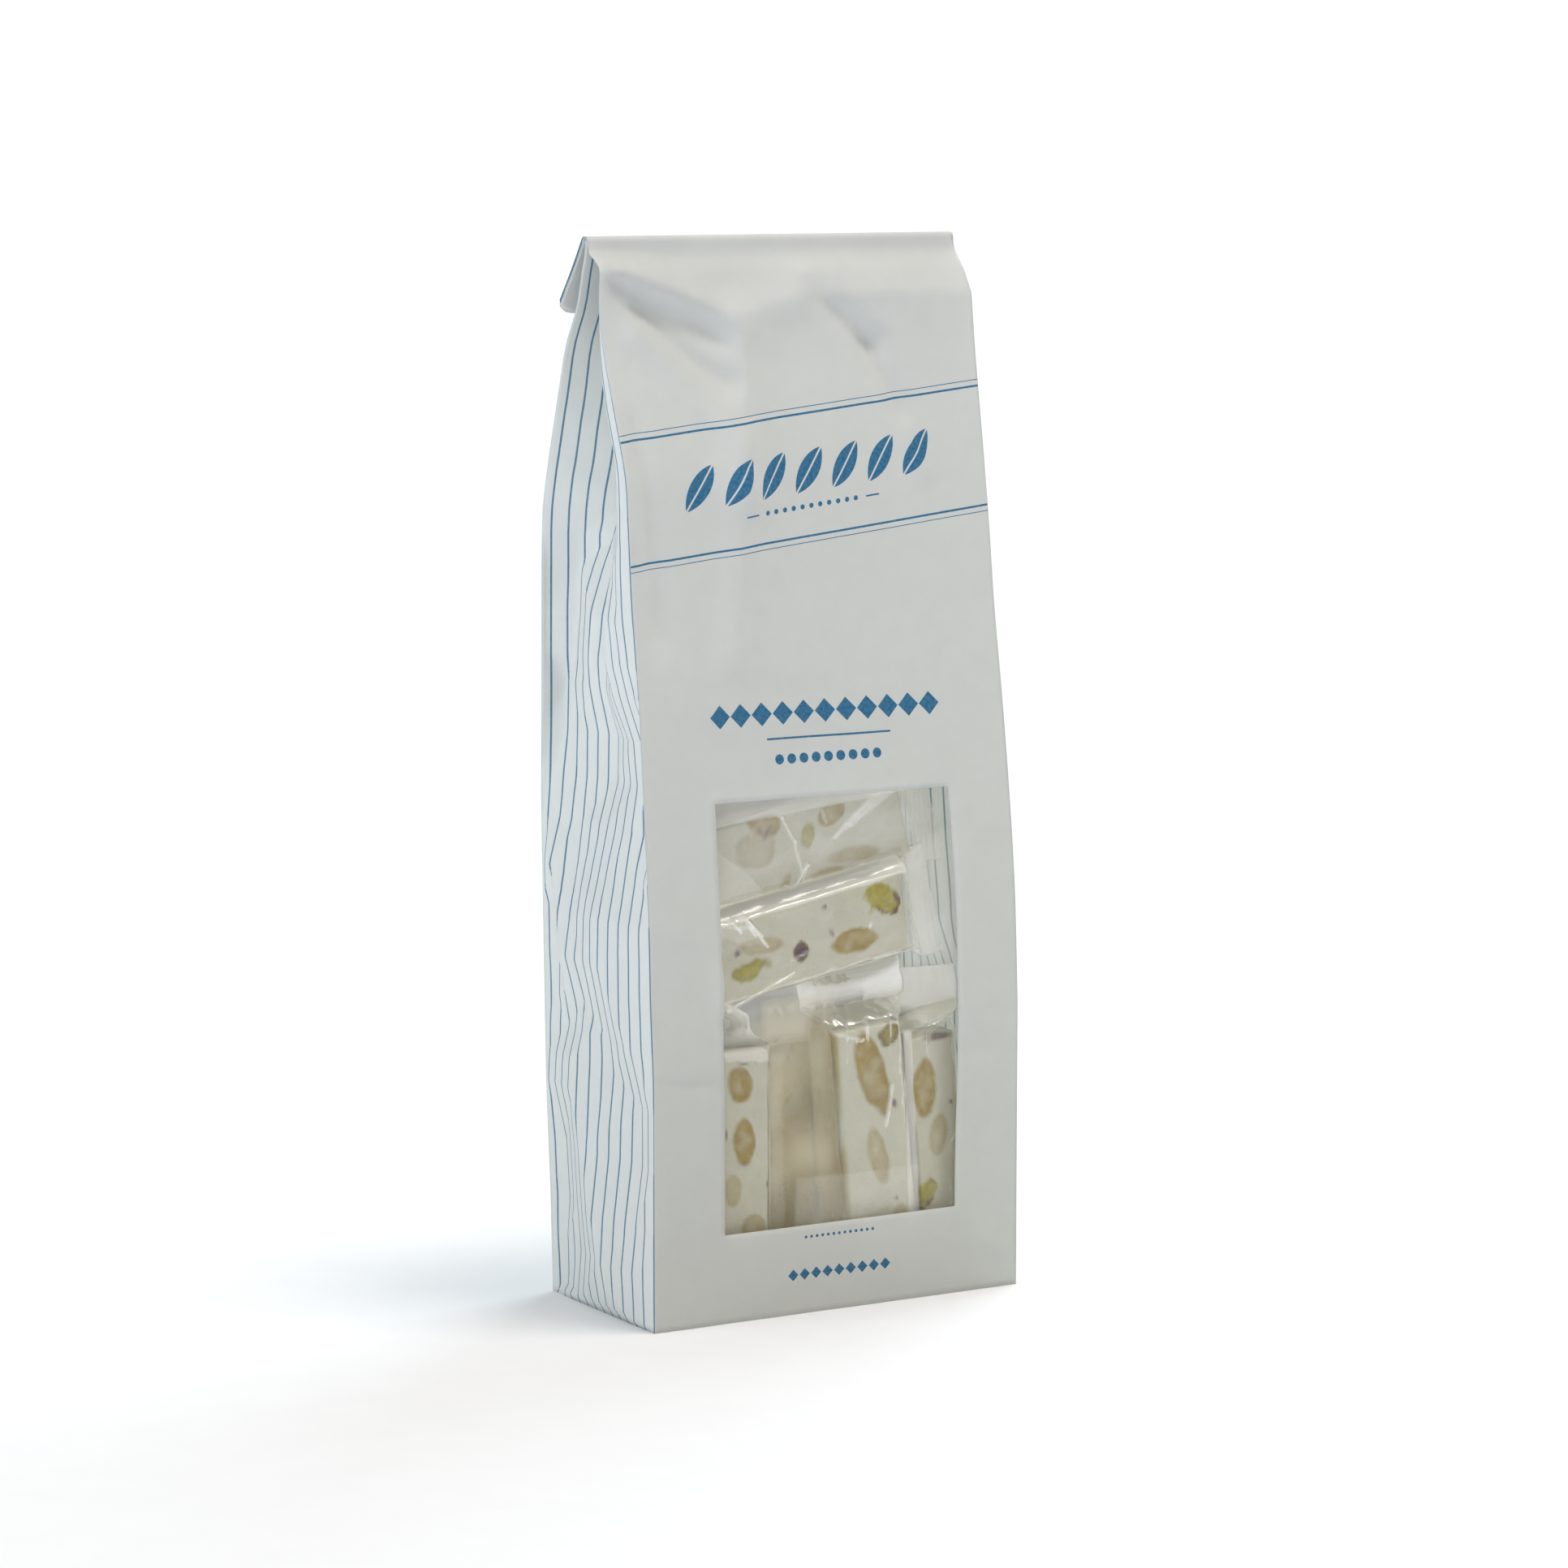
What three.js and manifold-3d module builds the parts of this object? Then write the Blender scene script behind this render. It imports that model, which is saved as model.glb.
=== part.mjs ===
// Block-bottom paper bag of soft nougat: a gusseted bag with its mouth folded over to the back,
// a clear window in the front, and a dozen film-wrapped nougat bars behind it.
// Millimetres, +Z up. The origin is the centre of the base. The front faces -Y.
import * as THREE from "three";
import { mergeVertices } from "three/addons/utils/BufferGeometryUtils.js";
import Module from "manifold-3d";

const wasm = await Module();
wasm.setup();

// ---- Driving dimensions ----
const WIDTH = 85; // of the front and back panels
const DEPTH = 43; // of the block bottom, front to back
const HEIGHT = 215; // from the base to the ridge of the fold
const PAPER = 0.6; // wall of the bag
const GAP = 0.35; // clear space between touching pieces

// The side view of the bag: how far behind the front of the base each edge lies, by height.
const STATIONS = [0, 50, 80, 105, 130, 150, 165, 185, 203, 212];
const FRONT_LEFT = [0, 0, 1.5, 4.0, 6.4, 8.8, 9.9, 16.2, 21.2, 24.6];
const FRONT_RIGHT = [0, 0.1, 1.2, 4.3, 8.3, 11.2, 13.3, 16.4, 19.6, 25.4];
const BACK = [DEPTH, 45.6, 46.4, 46.6, 46.5, 46.2, 44.4, 38.2, 31.8, 28.2];

// How far the gusset's centre crease is folded in from the panels' edges, by height. Low down it
// is pushed out by the contents, and above them it folds in until both halves lie face to face.
const GUSSET_IN = [-1.5, -0.8, -1.3, 4.4, 4.6, 7.8, 13.2, 17.2, 19.2, 20.2];

// The contents push the front panel out most at this place.
const BULGE = { rise: 2.2, x: 17, z: 72, spreadX: 20, spreadZ: 34 };

const FOLD = { thickness: 1.4, ridgeY: 27.3, flapLength: 17.8, flapAngle: 39 * (Math.PI / 180) };
const WINDOW = { width: 54, low: 18, high: 104, shiftX: 0.5, corner: 1 };
const FILM = { thickness: 0.4, margin: 5, gap: 0.45 };

// A nougat bar in its clear wrapper: the wrapper closes to a flat crimped fin past each end. The
// fins of the standing bars are shorter, bent under the bars that lie on them.
const BAR = { length: 50, width: 17, thickness: 12, edge: 0.9 };
const WRAP = { taper: 3.4, fin: 4.6, topFin: 6, finThickness: 0.8 };
const NUT = { count: 3, longHalf: 6, wideHalf: 3.1, proud: 0.4, segments: 10, rings: 6 };

const SEGMENTS = { panel: 12, gussetHalf: 5 };
const OUTER_LEVELS = 26;
const INNER_LEVELS = 22;

const COLOURS = { paper: 0xf1f3f2, film: 0xdfe3dc, nougat: 0xebe3cd };

// ---- Small helpers ----
const smooth = (low, high, value) => THREE.MathUtils.smoothstep(value, low, high);

// A smooth curve through values given at the stations, as a function of height.
function byHeight(values) {
  const curve = new THREE.CubicInterpolant(STATIONS, values, 1);
  return (z) => curve.evaluate(THREE.MathUtils.clamp(z, STATIONS[0], STATIONS.at(-1)))[0];
}

const frontLeft = byHeight(FRONT_LEFT);
const frontRight = byHeight(FRONT_RIGHT);
const backEdge = byHeight(BACK);
const gussetIn = byHeight(GUSSET_IN);

// A closed three.js geometry as a manifold-3d solid.
function toSolid(geometry) {
  const bare = geometry.clone();
  bare.deleteAttribute("normal");
  bare.deleteAttribute("uv");
  const merged = mergeVertices(bare, 1e-4);
  return new wasm.Manifold(
    new wasm.Mesh({
      numProp: 3,
      vertProperties: merged.attributes.position.array,
      triVerts: new Uint32Array(merged.index.array),
    }),
  );
}

function toGeometry(solid) {
  const mesh = solid.getMesh();
  const geometry = new THREE.BufferGeometry();
  geometry.setAttribute("position", new THREE.BufferAttribute(mesh.vertProperties, 3));
  geometry.setIndex(new THREE.BufferAttribute(mesh.triVerts, 1));
  return geometry;
}

// A closed body through rings of equal length, each listed anticlockwise seen from above.
function loft(rings) {
  const around = rings[0].length;
  const points = rings.flat();
  const faces = [];
  for (let level = 0; level + 1 < rings.length; level++) {
    for (let i = 0; i < around; i++) {
      const a = level * around + i;
      const b = level * around + ((i + 1) % around);
      faces.push(a, b, b + around, a, b + around, a + around);
    }
  }
  const flat = (ring) => ring.map((p) => new THREE.Vector2(p.x, p.y));
  for (const [a, b, c] of THREE.ShapeUtils.triangulateShape(flat(rings[0]), [])) faces.push(a, c, b);
  const top = (rings.length - 1) * around;
  for (const [a, b, c] of THREE.ShapeUtils.triangulateShape(flat(rings.at(-1)), [])) {
    faces.push(top + a, top + b, top + c);
  }
  const geometry = new THREE.BufferGeometry().setFromPoints(points);
  geometry.setIndex(faces);
  return geometry;
}

// ---- The bag's form ----
// The six corners of the bag at a height: the ends of both panels and the two gusset creases.
function cornersAt(z) {
  const half = WIDTH / 2;
  const left = { front: frontLeft(z), back: backEdge(z) };
  const right = { front: frontRight(z), back: backEdge(z) };
  const corner = (x, y) => new THREE.Vector2(x, y - DEPTH / 2);
  return [
    corner(-half, left.front),
    corner(half, right.front),
    corner(half - gussetIn(z), (right.front + right.back) / 2),
    corner(half, right.back),
    corner(-half, left.back),
    corner(-half + gussetIn(z), (left.front + left.back) / 2),
  ];
}

// The same corners with every side moved inwards by the wall.
function insetCorners(corners, wall) {
  const count = corners.length;
  const inward = corners.map((p, i) => {
    const along = corners[(i + 1) % count].clone().sub(p).normalize();
    return new THREE.Vector2(-along.y, along.x);
  });
  return corners.map((p, i) => {
    const before = inward[(i + count - 1) % count];
    const after = inward[i];
    const mitre = before.clone().add(after);
    return p.clone().add(mitre.multiplyScalar(wall / (1 + before.dot(after))));
  });
}

// How far the front panel stands out from the straight line between its edges.
function frontBulge(x, z) {
  const spread = ((x - BULGE.x) / BULGE.spreadX) ** 2 + ((z - BULGE.z) / BULGE.spreadZ) ** 2;
  const held = 1 - (2 * Math.abs(x) / WIDTH) ** 4;
  return BULGE.rise * Math.exp(-spread) * held * smooth(0, 30, z);
}

// One ring of the bag: the corners joined by sides in small steps, and the front panel bulged.
function ringAt(z, wall) {
  const corners = insetCorners(cornersAt(z), wall);
  const { panel, gussetHalf } = SEGMENTS;
  const steps = [panel, gussetHalf, gussetHalf, panel, gussetHalf, gussetHalf];
  const ring = [];
  steps.forEach((count, side) => {
    const from = corners[side];
    const to = corners[(side + 1) % corners.length];
    for (let i = 0; i < count; i++) {
      const p = from.clone().lerp(to, i / count);
      const bulge = side === 0 ? frontBulge(p.x, z) : 0;
      ring.push(new THREE.Vector3(p.x, p.y - bulge, z));
    }
  });
  return ring;
}

function bagBody(wall, low, high, levels) {
  const rings = [];
  for (let i = 0; i <= levels; i++) rings.push(ringAt(THREE.MathUtils.lerp(low, high, i / levels), wall));
  return toSolid(loft(rings));
}

// An extrusion along X of a side-view outline given as [y, z] points.
function acrossBag(outline, width) {
  const shape = new THREE.Shape(outline.map(([y, z]) => new THREE.Vector2(y, z)));
  const geometry = new THREE.ExtrudeGeometry(shape, { depth: width, bevelEnabled: false });
  geometry.applyMatrix4(new THREE.Matrix4().makeBasis(
    new THREE.Vector3(0, 1, 0),
    new THREE.Vector3(0, 0, 1),
    new THREE.Vector3(1, 0, 0),
  ));
  return toSolid(geometry.translate(-width / 2, 0, 0));
}

// The flattened mouth: it rises to the ridge, turns over it and hangs down behind.
function foldedMouth() {
  const half = FOLD.thickness / 2;
  const ridge = { y: FOLD.ridgeY - DEPTH / 2, z: HEIGHT - half };
  const root = { y: ridge.y - 1.4, z: STATIONS.at(-1) - 1.5 };
  const turns = 5;
  const flapNormal = { y: Math.cos(FOLD.flapAngle), z: Math.sin(FOLD.flapAngle) };
  const end = {
    y: ridge.y + FOLD.flapLength * Math.sin(FOLD.flapAngle),
    z: ridge.z - FOLD.flapLength * Math.cos(FOLD.flapAngle),
  };
  const outline = [[root.y - half, root.z], [root.y + half, root.z], [ridge.y, ridge.z - half]];
  outline.push([end.y - half * flapNormal.y, end.z - half * flapNormal.z]);
  outline.push([end.y + half * flapNormal.y, end.z + half * flapNormal.z]);
  for (let i = 0; i <= turns; i++) {
    const angle = THREE.MathUtils.lerp(FOLD.flapAngle, Math.PI, i / turns);
    outline.push([ridge.y + half * Math.cos(angle), ridge.z + half * Math.sin(angle)]);
  }
  return acrossBag(outline, WIDTH);
}

// The window's opening, cut straight back through the front panel only.
function windowCutter() {
  const { width, low, high, corner, shiftX } = WINDOW;
  const shape = new THREE.Shape();
  shape.moveTo(-width / 2 + corner, low);
  shape.lineTo(width / 2 - corner, low);
  shape.absarc(width / 2 - corner, low + corner, corner, -Math.PI / 2, 0);
  shape.absarc(width / 2 - corner, high - corner, corner, 0, Math.PI / 2);
  shape.absarc(-width / 2 + corner, high - corner, corner, Math.PI / 2, Math.PI);
  shape.absarc(-width / 2 + corner, low + corner, corner, Math.PI, 1.5 * Math.PI);
  const settings = { depth: DEPTH, bevelEnabled: false, curveSegments: 2 };
  const geometry = new THREE.ExtrudeGeometry(shape, settings);
  return toSolid(geometry.rotateX(Math.PI / 2).translate(shiftX, 0, 0));
}

function paperBag() {
  const outer = bagBody(0, 0, STATIONS.at(-1), OUTER_LEVELS);
  const inside = bagBody(PAPER, PAPER, STATIONS.at(-1) - 4, INNER_LEVELS);
  return toGeometry(outer.add(foldedMouth()).subtract(inside).subtract(windowCutter()).simplify(0.02));
}

// The clear film behind the window, bent to the inside of the front panel.
function windowFilm() {
  const width = WINDOW.width + 2 * FILM.margin;
  const height = WINDOW.high - WINDOW.low + 2 * FILM.margin;
  const geometry = new THREE.BoxGeometry(width, FILM.thickness, height, 12, 1, 18);
  geometry.translate(WINDOW.shiftX, 0, (WINDOW.high + WINDOW.low) / 2);
  const place = geometry.attributes.position;
  const back = PAPER + FILM.gap + FILM.thickness / 2;
  for (let i = 0; i < place.count; i++) {
    const x = place.getX(i);
    const z = place.getZ(i);
    const panel = THREE.MathUtils.lerp(frontLeft(z), frontRight(z), x / WIDTH + 0.5);
    place.setY(i, place.getY(i) + panel - DEPTH / 2 - frontBulge(x, z) + back);
  }
  return toGeometry(toSolid(geometry));
}

// ---- The wrapped bars ----
// A bar lies along Z, its wide faces to the front and back. The fins' lengths can differ.
function wrappedBar(lowFin, highFin, random, nuts) {
  const { length, width, thickness, edge } = BAR;
  const { taper, finThickness } = WRAP;
  const end = length / 2;
  const half = thickness / 2;
  const fin = finThickness / 2;
  const outline = [
    [-half, -end], [-half, end],
    [-fin, end + Math.min(taper, highFin * 0.6)], [-fin, end + highFin],
    [fin, end + highFin], [fin, end + Math.min(taper, highFin * 0.6)],
    [half, end], [half, -end],
    [fin, -end - Math.min(taper, lowFin * 0.6)], [fin, -end - lowFin],
    [-fin, -end - lowFin], [-fin, -end - Math.min(taper, lowFin * 0.6)],
  ];
  const body = acrossBag(outline, width);
  const rounded = new THREE.ExtrudeGeometry(roundedSection(width, thickness, edge), {
    depth: length + lowFin + highFin, bevelEnabled: false, curveSegments: 3,
  }).translate(0, 0, -end - lowFin);
  let solid = body.intersect(toSolid(rounded));
  for (let i = 0; i < nuts; i++) solid = solid.add(nutInFace(i, nuts, random));
  return solid;
}

function roundedSection(width, thickness, edge) {
  const x = width / 2 - edge;
  const y = thickness / 2 - edge;
  const shape = new THREE.Shape();
  shape.moveTo(-x, -y - edge);
  shape.absarc(x, -y, edge, -Math.PI / 2, 0);
  shape.absarc(x, y, edge, 0, Math.PI / 2);
  shape.absarc(-x, y, edge, Math.PI / 2, Math.PI);
  shape.absarc(-x, -y, edge, Math.PI, 1.5 * Math.PI);
  return shape;
}

// An almond that breaks the face of the bar, most of it inside. Every second one shows at the side.
function nutInFace(index, nuts, random) {
  const { longHalf, wideHalf, proud, segments, rings } = NUT;
  const scale = 0.8 + 0.4 * random();
  const geometry = new THREE.SphereGeometry(1, segments, rings);
  geometry.scale(wideHalf * scale, 2, longHalf * scale);
  geometry.rotateY((random() - 0.5) * 1.4);
  const z = (((index + 0.5) / nuts) - 0.5) * (BAR.length - 2 * longHalf) + (random() - 0.5) * 3;
  if (index % 2) {
    geometry.rotateZ(random() < 0.5 ? Math.PI / 2 : -Math.PI / 2);
    geometry.scale(1, 0.8, 1);
    const side = random() < 0.5 ? -1 : 1;
    geometry.translate(side * (BAR.width / 2 - 2 + proud), (random() - 0.5) * 2, z);
  } else {
    const x = (random() - 0.5) * (BAR.width - 3 * wideHalf);
    geometry.translate(x, -(BAR.thickness / 2 - 2 + proud), z);
  }
  return toSolid(geometry);
}

// Where each bar stands or lies. "turn" is about the bar's own length, "lean" then tips it in the
// plane of the front (90 degrees lays it down), and "low" is the height of its lower end or side.
const DEGREE = Math.PI / 180;
const FRONT_ROW = [
  { name: "front_left", x: -19.9, y: 11.1, low: 4.5, turn: 90, lean: 0 },
  { name: "front_mid_left", x: -4.4, y: 21.1, low: 8, turn: 0, lean: 0 },
  { name: "front_mid_right", x: 10.5, y: 8.5, low: 7, turn: 0, lean: -5 },
  { name: "front_right", x: 26.1, y: 11.4, low: 4, turn: 90, lean: -5 },
];
const BACK_ROW = [
  { name: "back_left", x: -33.3, y: 27.0, low: 6, turn: 90, lean: 0 },
  { name: "back_mid_left", x: -12.6, y: 35.2, low: 8, turn: 0, lean: 0 },
  { name: "back_mid_right", x: 6.0, y: 35.4, low: 10, turn: 0, lean: 0 },
  { name: "back_right", x: 24.0, y: 29.6, low: 9, turn: 90, lean: 0 },
];
const UPPER = [
  { name: "upper_front", x: -5.8, y: 9.8, low: 66, turn: -5, lean: 79.5 },
  { name: "upper_back", x: 0.5, y: 27.6, low: 69.8, turn: 3, lean: 91 },
  { name: "top_front", x: -3.5, y: 14.2, low: 84.7, turn: -4, lean: 80 },
  { name: "top_back", x: -1.5, y: 29.0, low: 88.4, turn: 2, lean: 89.6 },
];

function barMesh(place, index, material) {
  const random = seeded(17 + index);
  const lying = place.lean > 45;
  const dip = Math.abs(Math.sin(place.lean * DEGREE)) * (BAR.width / 2);
  const floorFin = place.low - dip - PAPER - GAP;
  const fin = WRAP.taper + WRAP.fin;
  const lowFin = lying ? fin : Math.min(fin, floorFin);
  const highFin = lying ? fin : WRAP.topFin;
  const shown = place.name.startsWith("back") || place.name.endsWith("back") ? 0 : NUT.count;
  const solid = wrappedBar(lowFin, highFin, random, shown);
  const mesh = new THREE.Mesh(toGeometry(solid), material);
  mesh.name = `wrapped_bar_${place.name}`;
  const rise = lying ? BAR.width / 2 : BAR.length / 2;
  mesh.position.set(place.x, place.y - DEPTH / 2, place.low + rise);
  mesh.rotation.set(0, place.lean * DEGREE, place.turn * DEGREE, "YXZ");
  return mesh;
}

// A repeatable random number source.
function seeded(seed) {
  let state = seed * 2654435761;
  return () => {
    state = (state * 1664525 + 1013904223) % 4294967296;
    return state / 4294967296;
  };
}

// ---- The model ----
const paper = new THREE.MeshStandardMaterial({ color: COLOURS.paper, roughness: 0.75, metalness: 0 });
const film = new THREE.MeshStandardMaterial({
  color: COLOURS.film, roughness: 0.15, metalness: 0, transparent: true, opacity: 0.3,
});
const nougat = new THREE.MeshStandardMaterial({ color: COLOURS.nougat, roughness: 0.35, metalness: 0 });

const pack = new THREE.Group();

const bag = new THREE.Mesh(paperBag(), paper);
bag.name = "paper_bag";
pack.add(bag);

const pane = new THREE.Mesh(windowFilm(), film);
pane.name = "window_film";
pack.add(pane);

const contents = new THREE.Group();
[...FRONT_ROW, ...BACK_ROW, ...UPPER].forEach((place, i) => contents.add(barMesh(place, i, nougat)));
pack.add(contents);

export default pack;
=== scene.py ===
"""Bag of wrapped nougat bars: a printed white paper gusset bag, its mouth folded over behind,
with a clear window that shows a dozen film-wrapped bars of almond and pistachio nougat.

Lengths are millimetres in the code and metres in the settings and the finished meshes. The origin
is the centre of the base, the front faces -Y, and a "depth" is measured back from the front of
the base."""
import bisect
import math
import random

import bmesh
import bpy
from mathutils import Matrix, Vector, noise
from mathutils.bvhtree import BVHTree
from mathutils.geometry import delaunay_2d_cdt


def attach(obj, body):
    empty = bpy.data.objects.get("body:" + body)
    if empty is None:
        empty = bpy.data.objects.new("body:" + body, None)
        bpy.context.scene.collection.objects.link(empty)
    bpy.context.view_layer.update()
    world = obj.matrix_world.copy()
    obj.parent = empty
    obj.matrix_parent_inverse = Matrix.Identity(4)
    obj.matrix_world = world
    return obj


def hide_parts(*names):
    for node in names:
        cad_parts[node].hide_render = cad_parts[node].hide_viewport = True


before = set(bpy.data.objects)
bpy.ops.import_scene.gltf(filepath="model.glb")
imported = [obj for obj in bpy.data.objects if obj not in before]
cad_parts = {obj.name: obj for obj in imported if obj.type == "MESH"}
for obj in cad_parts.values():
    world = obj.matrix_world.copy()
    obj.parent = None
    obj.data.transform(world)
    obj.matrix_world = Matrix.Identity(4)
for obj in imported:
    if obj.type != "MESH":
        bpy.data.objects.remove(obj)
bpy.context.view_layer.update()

bl_info = {
    "name": "Bag of Wrapped Nougat",
    "version": (1, 0, 0),
    "blender": (4, 5, 0),
    "location": "View3D > Sidebar > Nougat Bag",
    "description": "Makes a folded paper gusset bag with a clear window and wrapped bars of nougat",
    "category": "Add Mesh",
}

MM = 0.001

# ---- The bag's form, in millimetres ----

# How far behind the front of the base each upright edge lies, by height.
FRONT_LEFT = [(0, 0), (50, 0), (66, 1.1), (80, 1.5), (97, 3.2), (115, 4.8), (128, 5.9), (143, 8.1),
              (158, 9.4), (168, 10.2), (178, 13.9), (191, 19.0), (200, 21.2), (206, 21.0), (212, 20.0)]
FRONT_RIGHT = [(0, 0.2), (60, 0.2), (81, 1.3), (94, 2.7), (108, 4.6), (121, 6.6), (140, 9.9),
               (156, 11.9), (173, 14.5), (190, 17.4), (203, 19.1), (212, 19.4)]
BACK = [(0, 43.0), (22, 44.0), (42, 45.5), (62, 46.0), (102, 47.0), (132, 46.4), (148, 46.2),
        (160, 45.7), (170, 43.0), (184, 38.4), (194, 35.2), (200, 30.7), (206, 28.8), (213.7, 26.9),
        (220, 25.3)]

# Above this line, given as (x, height), the front panel leans back to the ridge of the fold.
LEAN_LINE = [(-42.5, 209.7), (-12.6, 198.9), (6.2, 203.3), (42.5, 202.7)]

# The turned-over mouth. "layers" is how far the outermost layer of paper lies from the middle one.
FOLD = {"height": 213.7, "depth": 26.5, "radius": 0.8, "layers": 0.4, "turn": math.radians(148),
        "flap": 17.8, "corner": 3.0}

WINDOW = {"left": -26.5, "right": 27.5, "low": 18.0, "high": 104.0}

# The clear film behind the window: how far it runs past the opening, how far it lies behind the
# front panel, and how much it ripples.
FILM = {"margin": 5.0, "behind": 0.75, "ripple": 0.22}

# The lengthwise seam behind: how far its step is spread to each side, and how much the lapping
# paper stands out, down the back and in the folded mouth.
SEAM = {"ease": 1.2, "lift": 0.25, "mouth_lift": 0.22}

# A column of corners stands this close on each side of a fold.
BESIDE_FOLD = 0.6

# The gusset keeps this far clear of the front and back panels.
GUSSET_SPARE = 0.36

# The flap's left corner springs away from the back: from this X on, over this reach, to this much.
CORNER_SPRING = {"from": -28.0, "reach": 14.5, "rise": 1.5}

# The contents push the front panel out most at this place.
BULGE = {"rise": 2.2, "x": 17.0, "z": 72.0, "spread_x": 20.0, "spread_z": 34.0}

# Creases in the left gusset: a height, then (distance behind the front fold, push into the bag).
LEFT_CREASES = [
    (2, (13, -1.5), (31, -0.9), (43, 1.3)),
    (11, (5, -0.9), (19, -2.8), (33, 0.3), (42, 1.2)),
    (20, (8, -0.1), (23, -2.8), (34, 0.0), (41, 1.9)),
    (32, (8, 1.5), (28, -2.1), (41, 1.5)),
    (44, (9, 1.7), (31, -2.1), (45, -0.4)),
    (50, (5, -0.2), (19, 1.1), (31, -1.7), (45, 0.0)),
    (56, (8, -1.1), (20, 0.6), (27, -0.6), (38, 0.8)),
    (62, (13, -1.6), (30, 0.6), (37, 0.0), (43, 0.9)),
    (71, (19, -2.1), (27, -1.4), (36, -1.8), (41, 0.8)),
    (80, (20, -1.7), (33, 0.0), (38, -1.3), (41, 0.9)),
    (89, (5, 1.4), (17, 0.4), (34, 1.8), (41, -1.2)),
    (98, (4.5, 3.5), (12, 2.0), (23, 2.6), (34, 2.8), (44, 0.6)),
    (107, (4.5, 3.7), (12, 3.9), (23, 5.5), (37, 3.7), (44, 1.6)),
    (116, (4.5, 3.4), (12, 3.7), (23, 6.2), (35, 4.6), (41, 4.2), (45, 1.3)),
    (125, (4.5, 1.2), (15, 1.8), (24, 4.7), (30, 4.1), (41, 5.0), (45, 1.3)),
    (131, (4.5, 0.0), (15, 0.5), (23, 4.4), (29, 3.4), (39, 5.2), (45, 1.4)),
    (140, (5, -0.6), (14, 0.2), (23, 5.8), (30, 4.2), (38, 5.8), (45, 1.4)),
    (149, (5, -0.5), (13, 1.8), (26, 8.0), (38, 6.5), (45, 1.4)),
    (155, (5, -0.2), (19, 5.8), (30, 10.0), (38, 6.0)),
    (161, (5, 0.2), (28, 12.6)),
    (170, (5, 0.5), (27, 15.0)),
    (182, (5, 0.3), (26, 17.3)),
    (200, (4, 0.7), (25, 18.8)),
    (213.7, (23.2, 22.6)),
]
RIGHT_CREASES = [
    (3, (24, -1.2)),
    (16, (10, 0.6), (30, -2.2)),
    (30, (18, -2.4), (38, 1.0)),
    (49, (12, 1.4), (30, 1.2)),
    (62, (10, 0.6), (24, 1.2), (36, 0.4)),
    (74, (8, 1.8), (23, 5.0), (38, 1.6)),
    (90, (8, 2.2), (23, 6.0), (38, 2.2)),
    (108, (8, 2.4), (23, 6.2), (37, 2.8)),
    (124, (12, 1.9), (24, 5.3), (36, 4.4)),
    (140, (8, 0.6), (22, 6.2), (32, 5.0)),
    (154, (16, 5.0), (27, 9.6)),
    (168, (6, 0.8), (24, 14.4)),
    (184, (5, 0.4), (24, 17.6)),
    (201, (4, 0.8), (24, 19.2)),
    (213.7, (23.2, 22.6)),
]

# Creases in the wide panels: two ends as (x, height), push into the bag, and how far it reaches.
FRONT_CREASES = [
    ((-42.5, 209.7), (-12.6, 198.9), -0.7, 6.0),
    ((-12.6, 198.9), (6.2, 203.3), -0.7, 6.0),
    ((-40.0, 206.0), (-17.0, 195.0), 2.2, 4.5),
    ((-33.0, 200.0), (-16.0, 186.0), 1.6, 4.0),
    ((-35.0, 196.0), (-15.0, 174.0), -1.3, 5.0),
    ((-11.5, 194.0), (-16.0, 165.0), -1.6, 8.0),
    ((-16.0, 165.0), (-20.0, 132.0), -1.2, 5.5),
    ((-39.0, 178.0), (-36.5, 138.0), 1.1, 4.0),
    ((7.0, 203.0), (18.0, 193.0), 1.8, 4.5),
    ((18.0, 193.0), (23.0, 180.0), 1.6, 4.5),
    ((19.0, 184.0), (27.5, 167.0), -0.9, 3.6),
    ((-35.0, 132.0), (-26.0, 121.0), -0.5, 4.5),
    ((-42.5, 50.0), (-28.0, 48.3), 0.6, 1.7),
    ((29.0, 50.7), (42.5, 48.9), 0.35, 2.4),
    ((34.0, 7.0), (42.5, 0.5), 0.45, 3.0),
    ((-26.5, 64.0), (-26.5, 69.5), -0.8, 3.2),
]
BACK_CREASES = [
    ((-42.5, 49.5), (42.5, 49.0), 0.45, 2.6),
    ((-36.0, 206.0), (-8.0, 170.0), -0.9, 7.0),
    ((38.0, 205.0), (14.0, 168.0), -1.0, 8.0),
    ((-20.0, 196.0), (24.0, 190.0), 0.9, 6.0),
    ((-30.0, 150.0), (-14.0, 96.0), -0.8, 9.0),
    ((22.0, 158.0), (30.0, 84.0), -0.7, 8.0),
    ((-36.0, 88.0), (-20.0, 60.0), 0.6, 6.0),
    ((8.0, 128.0), (34.0, 116.0), 0.5, 5.0),
    ((-34.0, 30.0), (-42.0, 3.0), -0.5, 5.0),
    ((30.0, 34.0), (42.0, 4.0), -0.5, 5.0),
]

# ---- The bars, in millimetres ----

# A nut that shows is a flattened ball: its half depth is no more than this, and its middle is sunk
# this share of that behind the face. Each bar also gets this many more nuts at random.
NUTS = {"deepest": 2.6, "sunk": 0.35, "hidden": 15}

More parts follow.
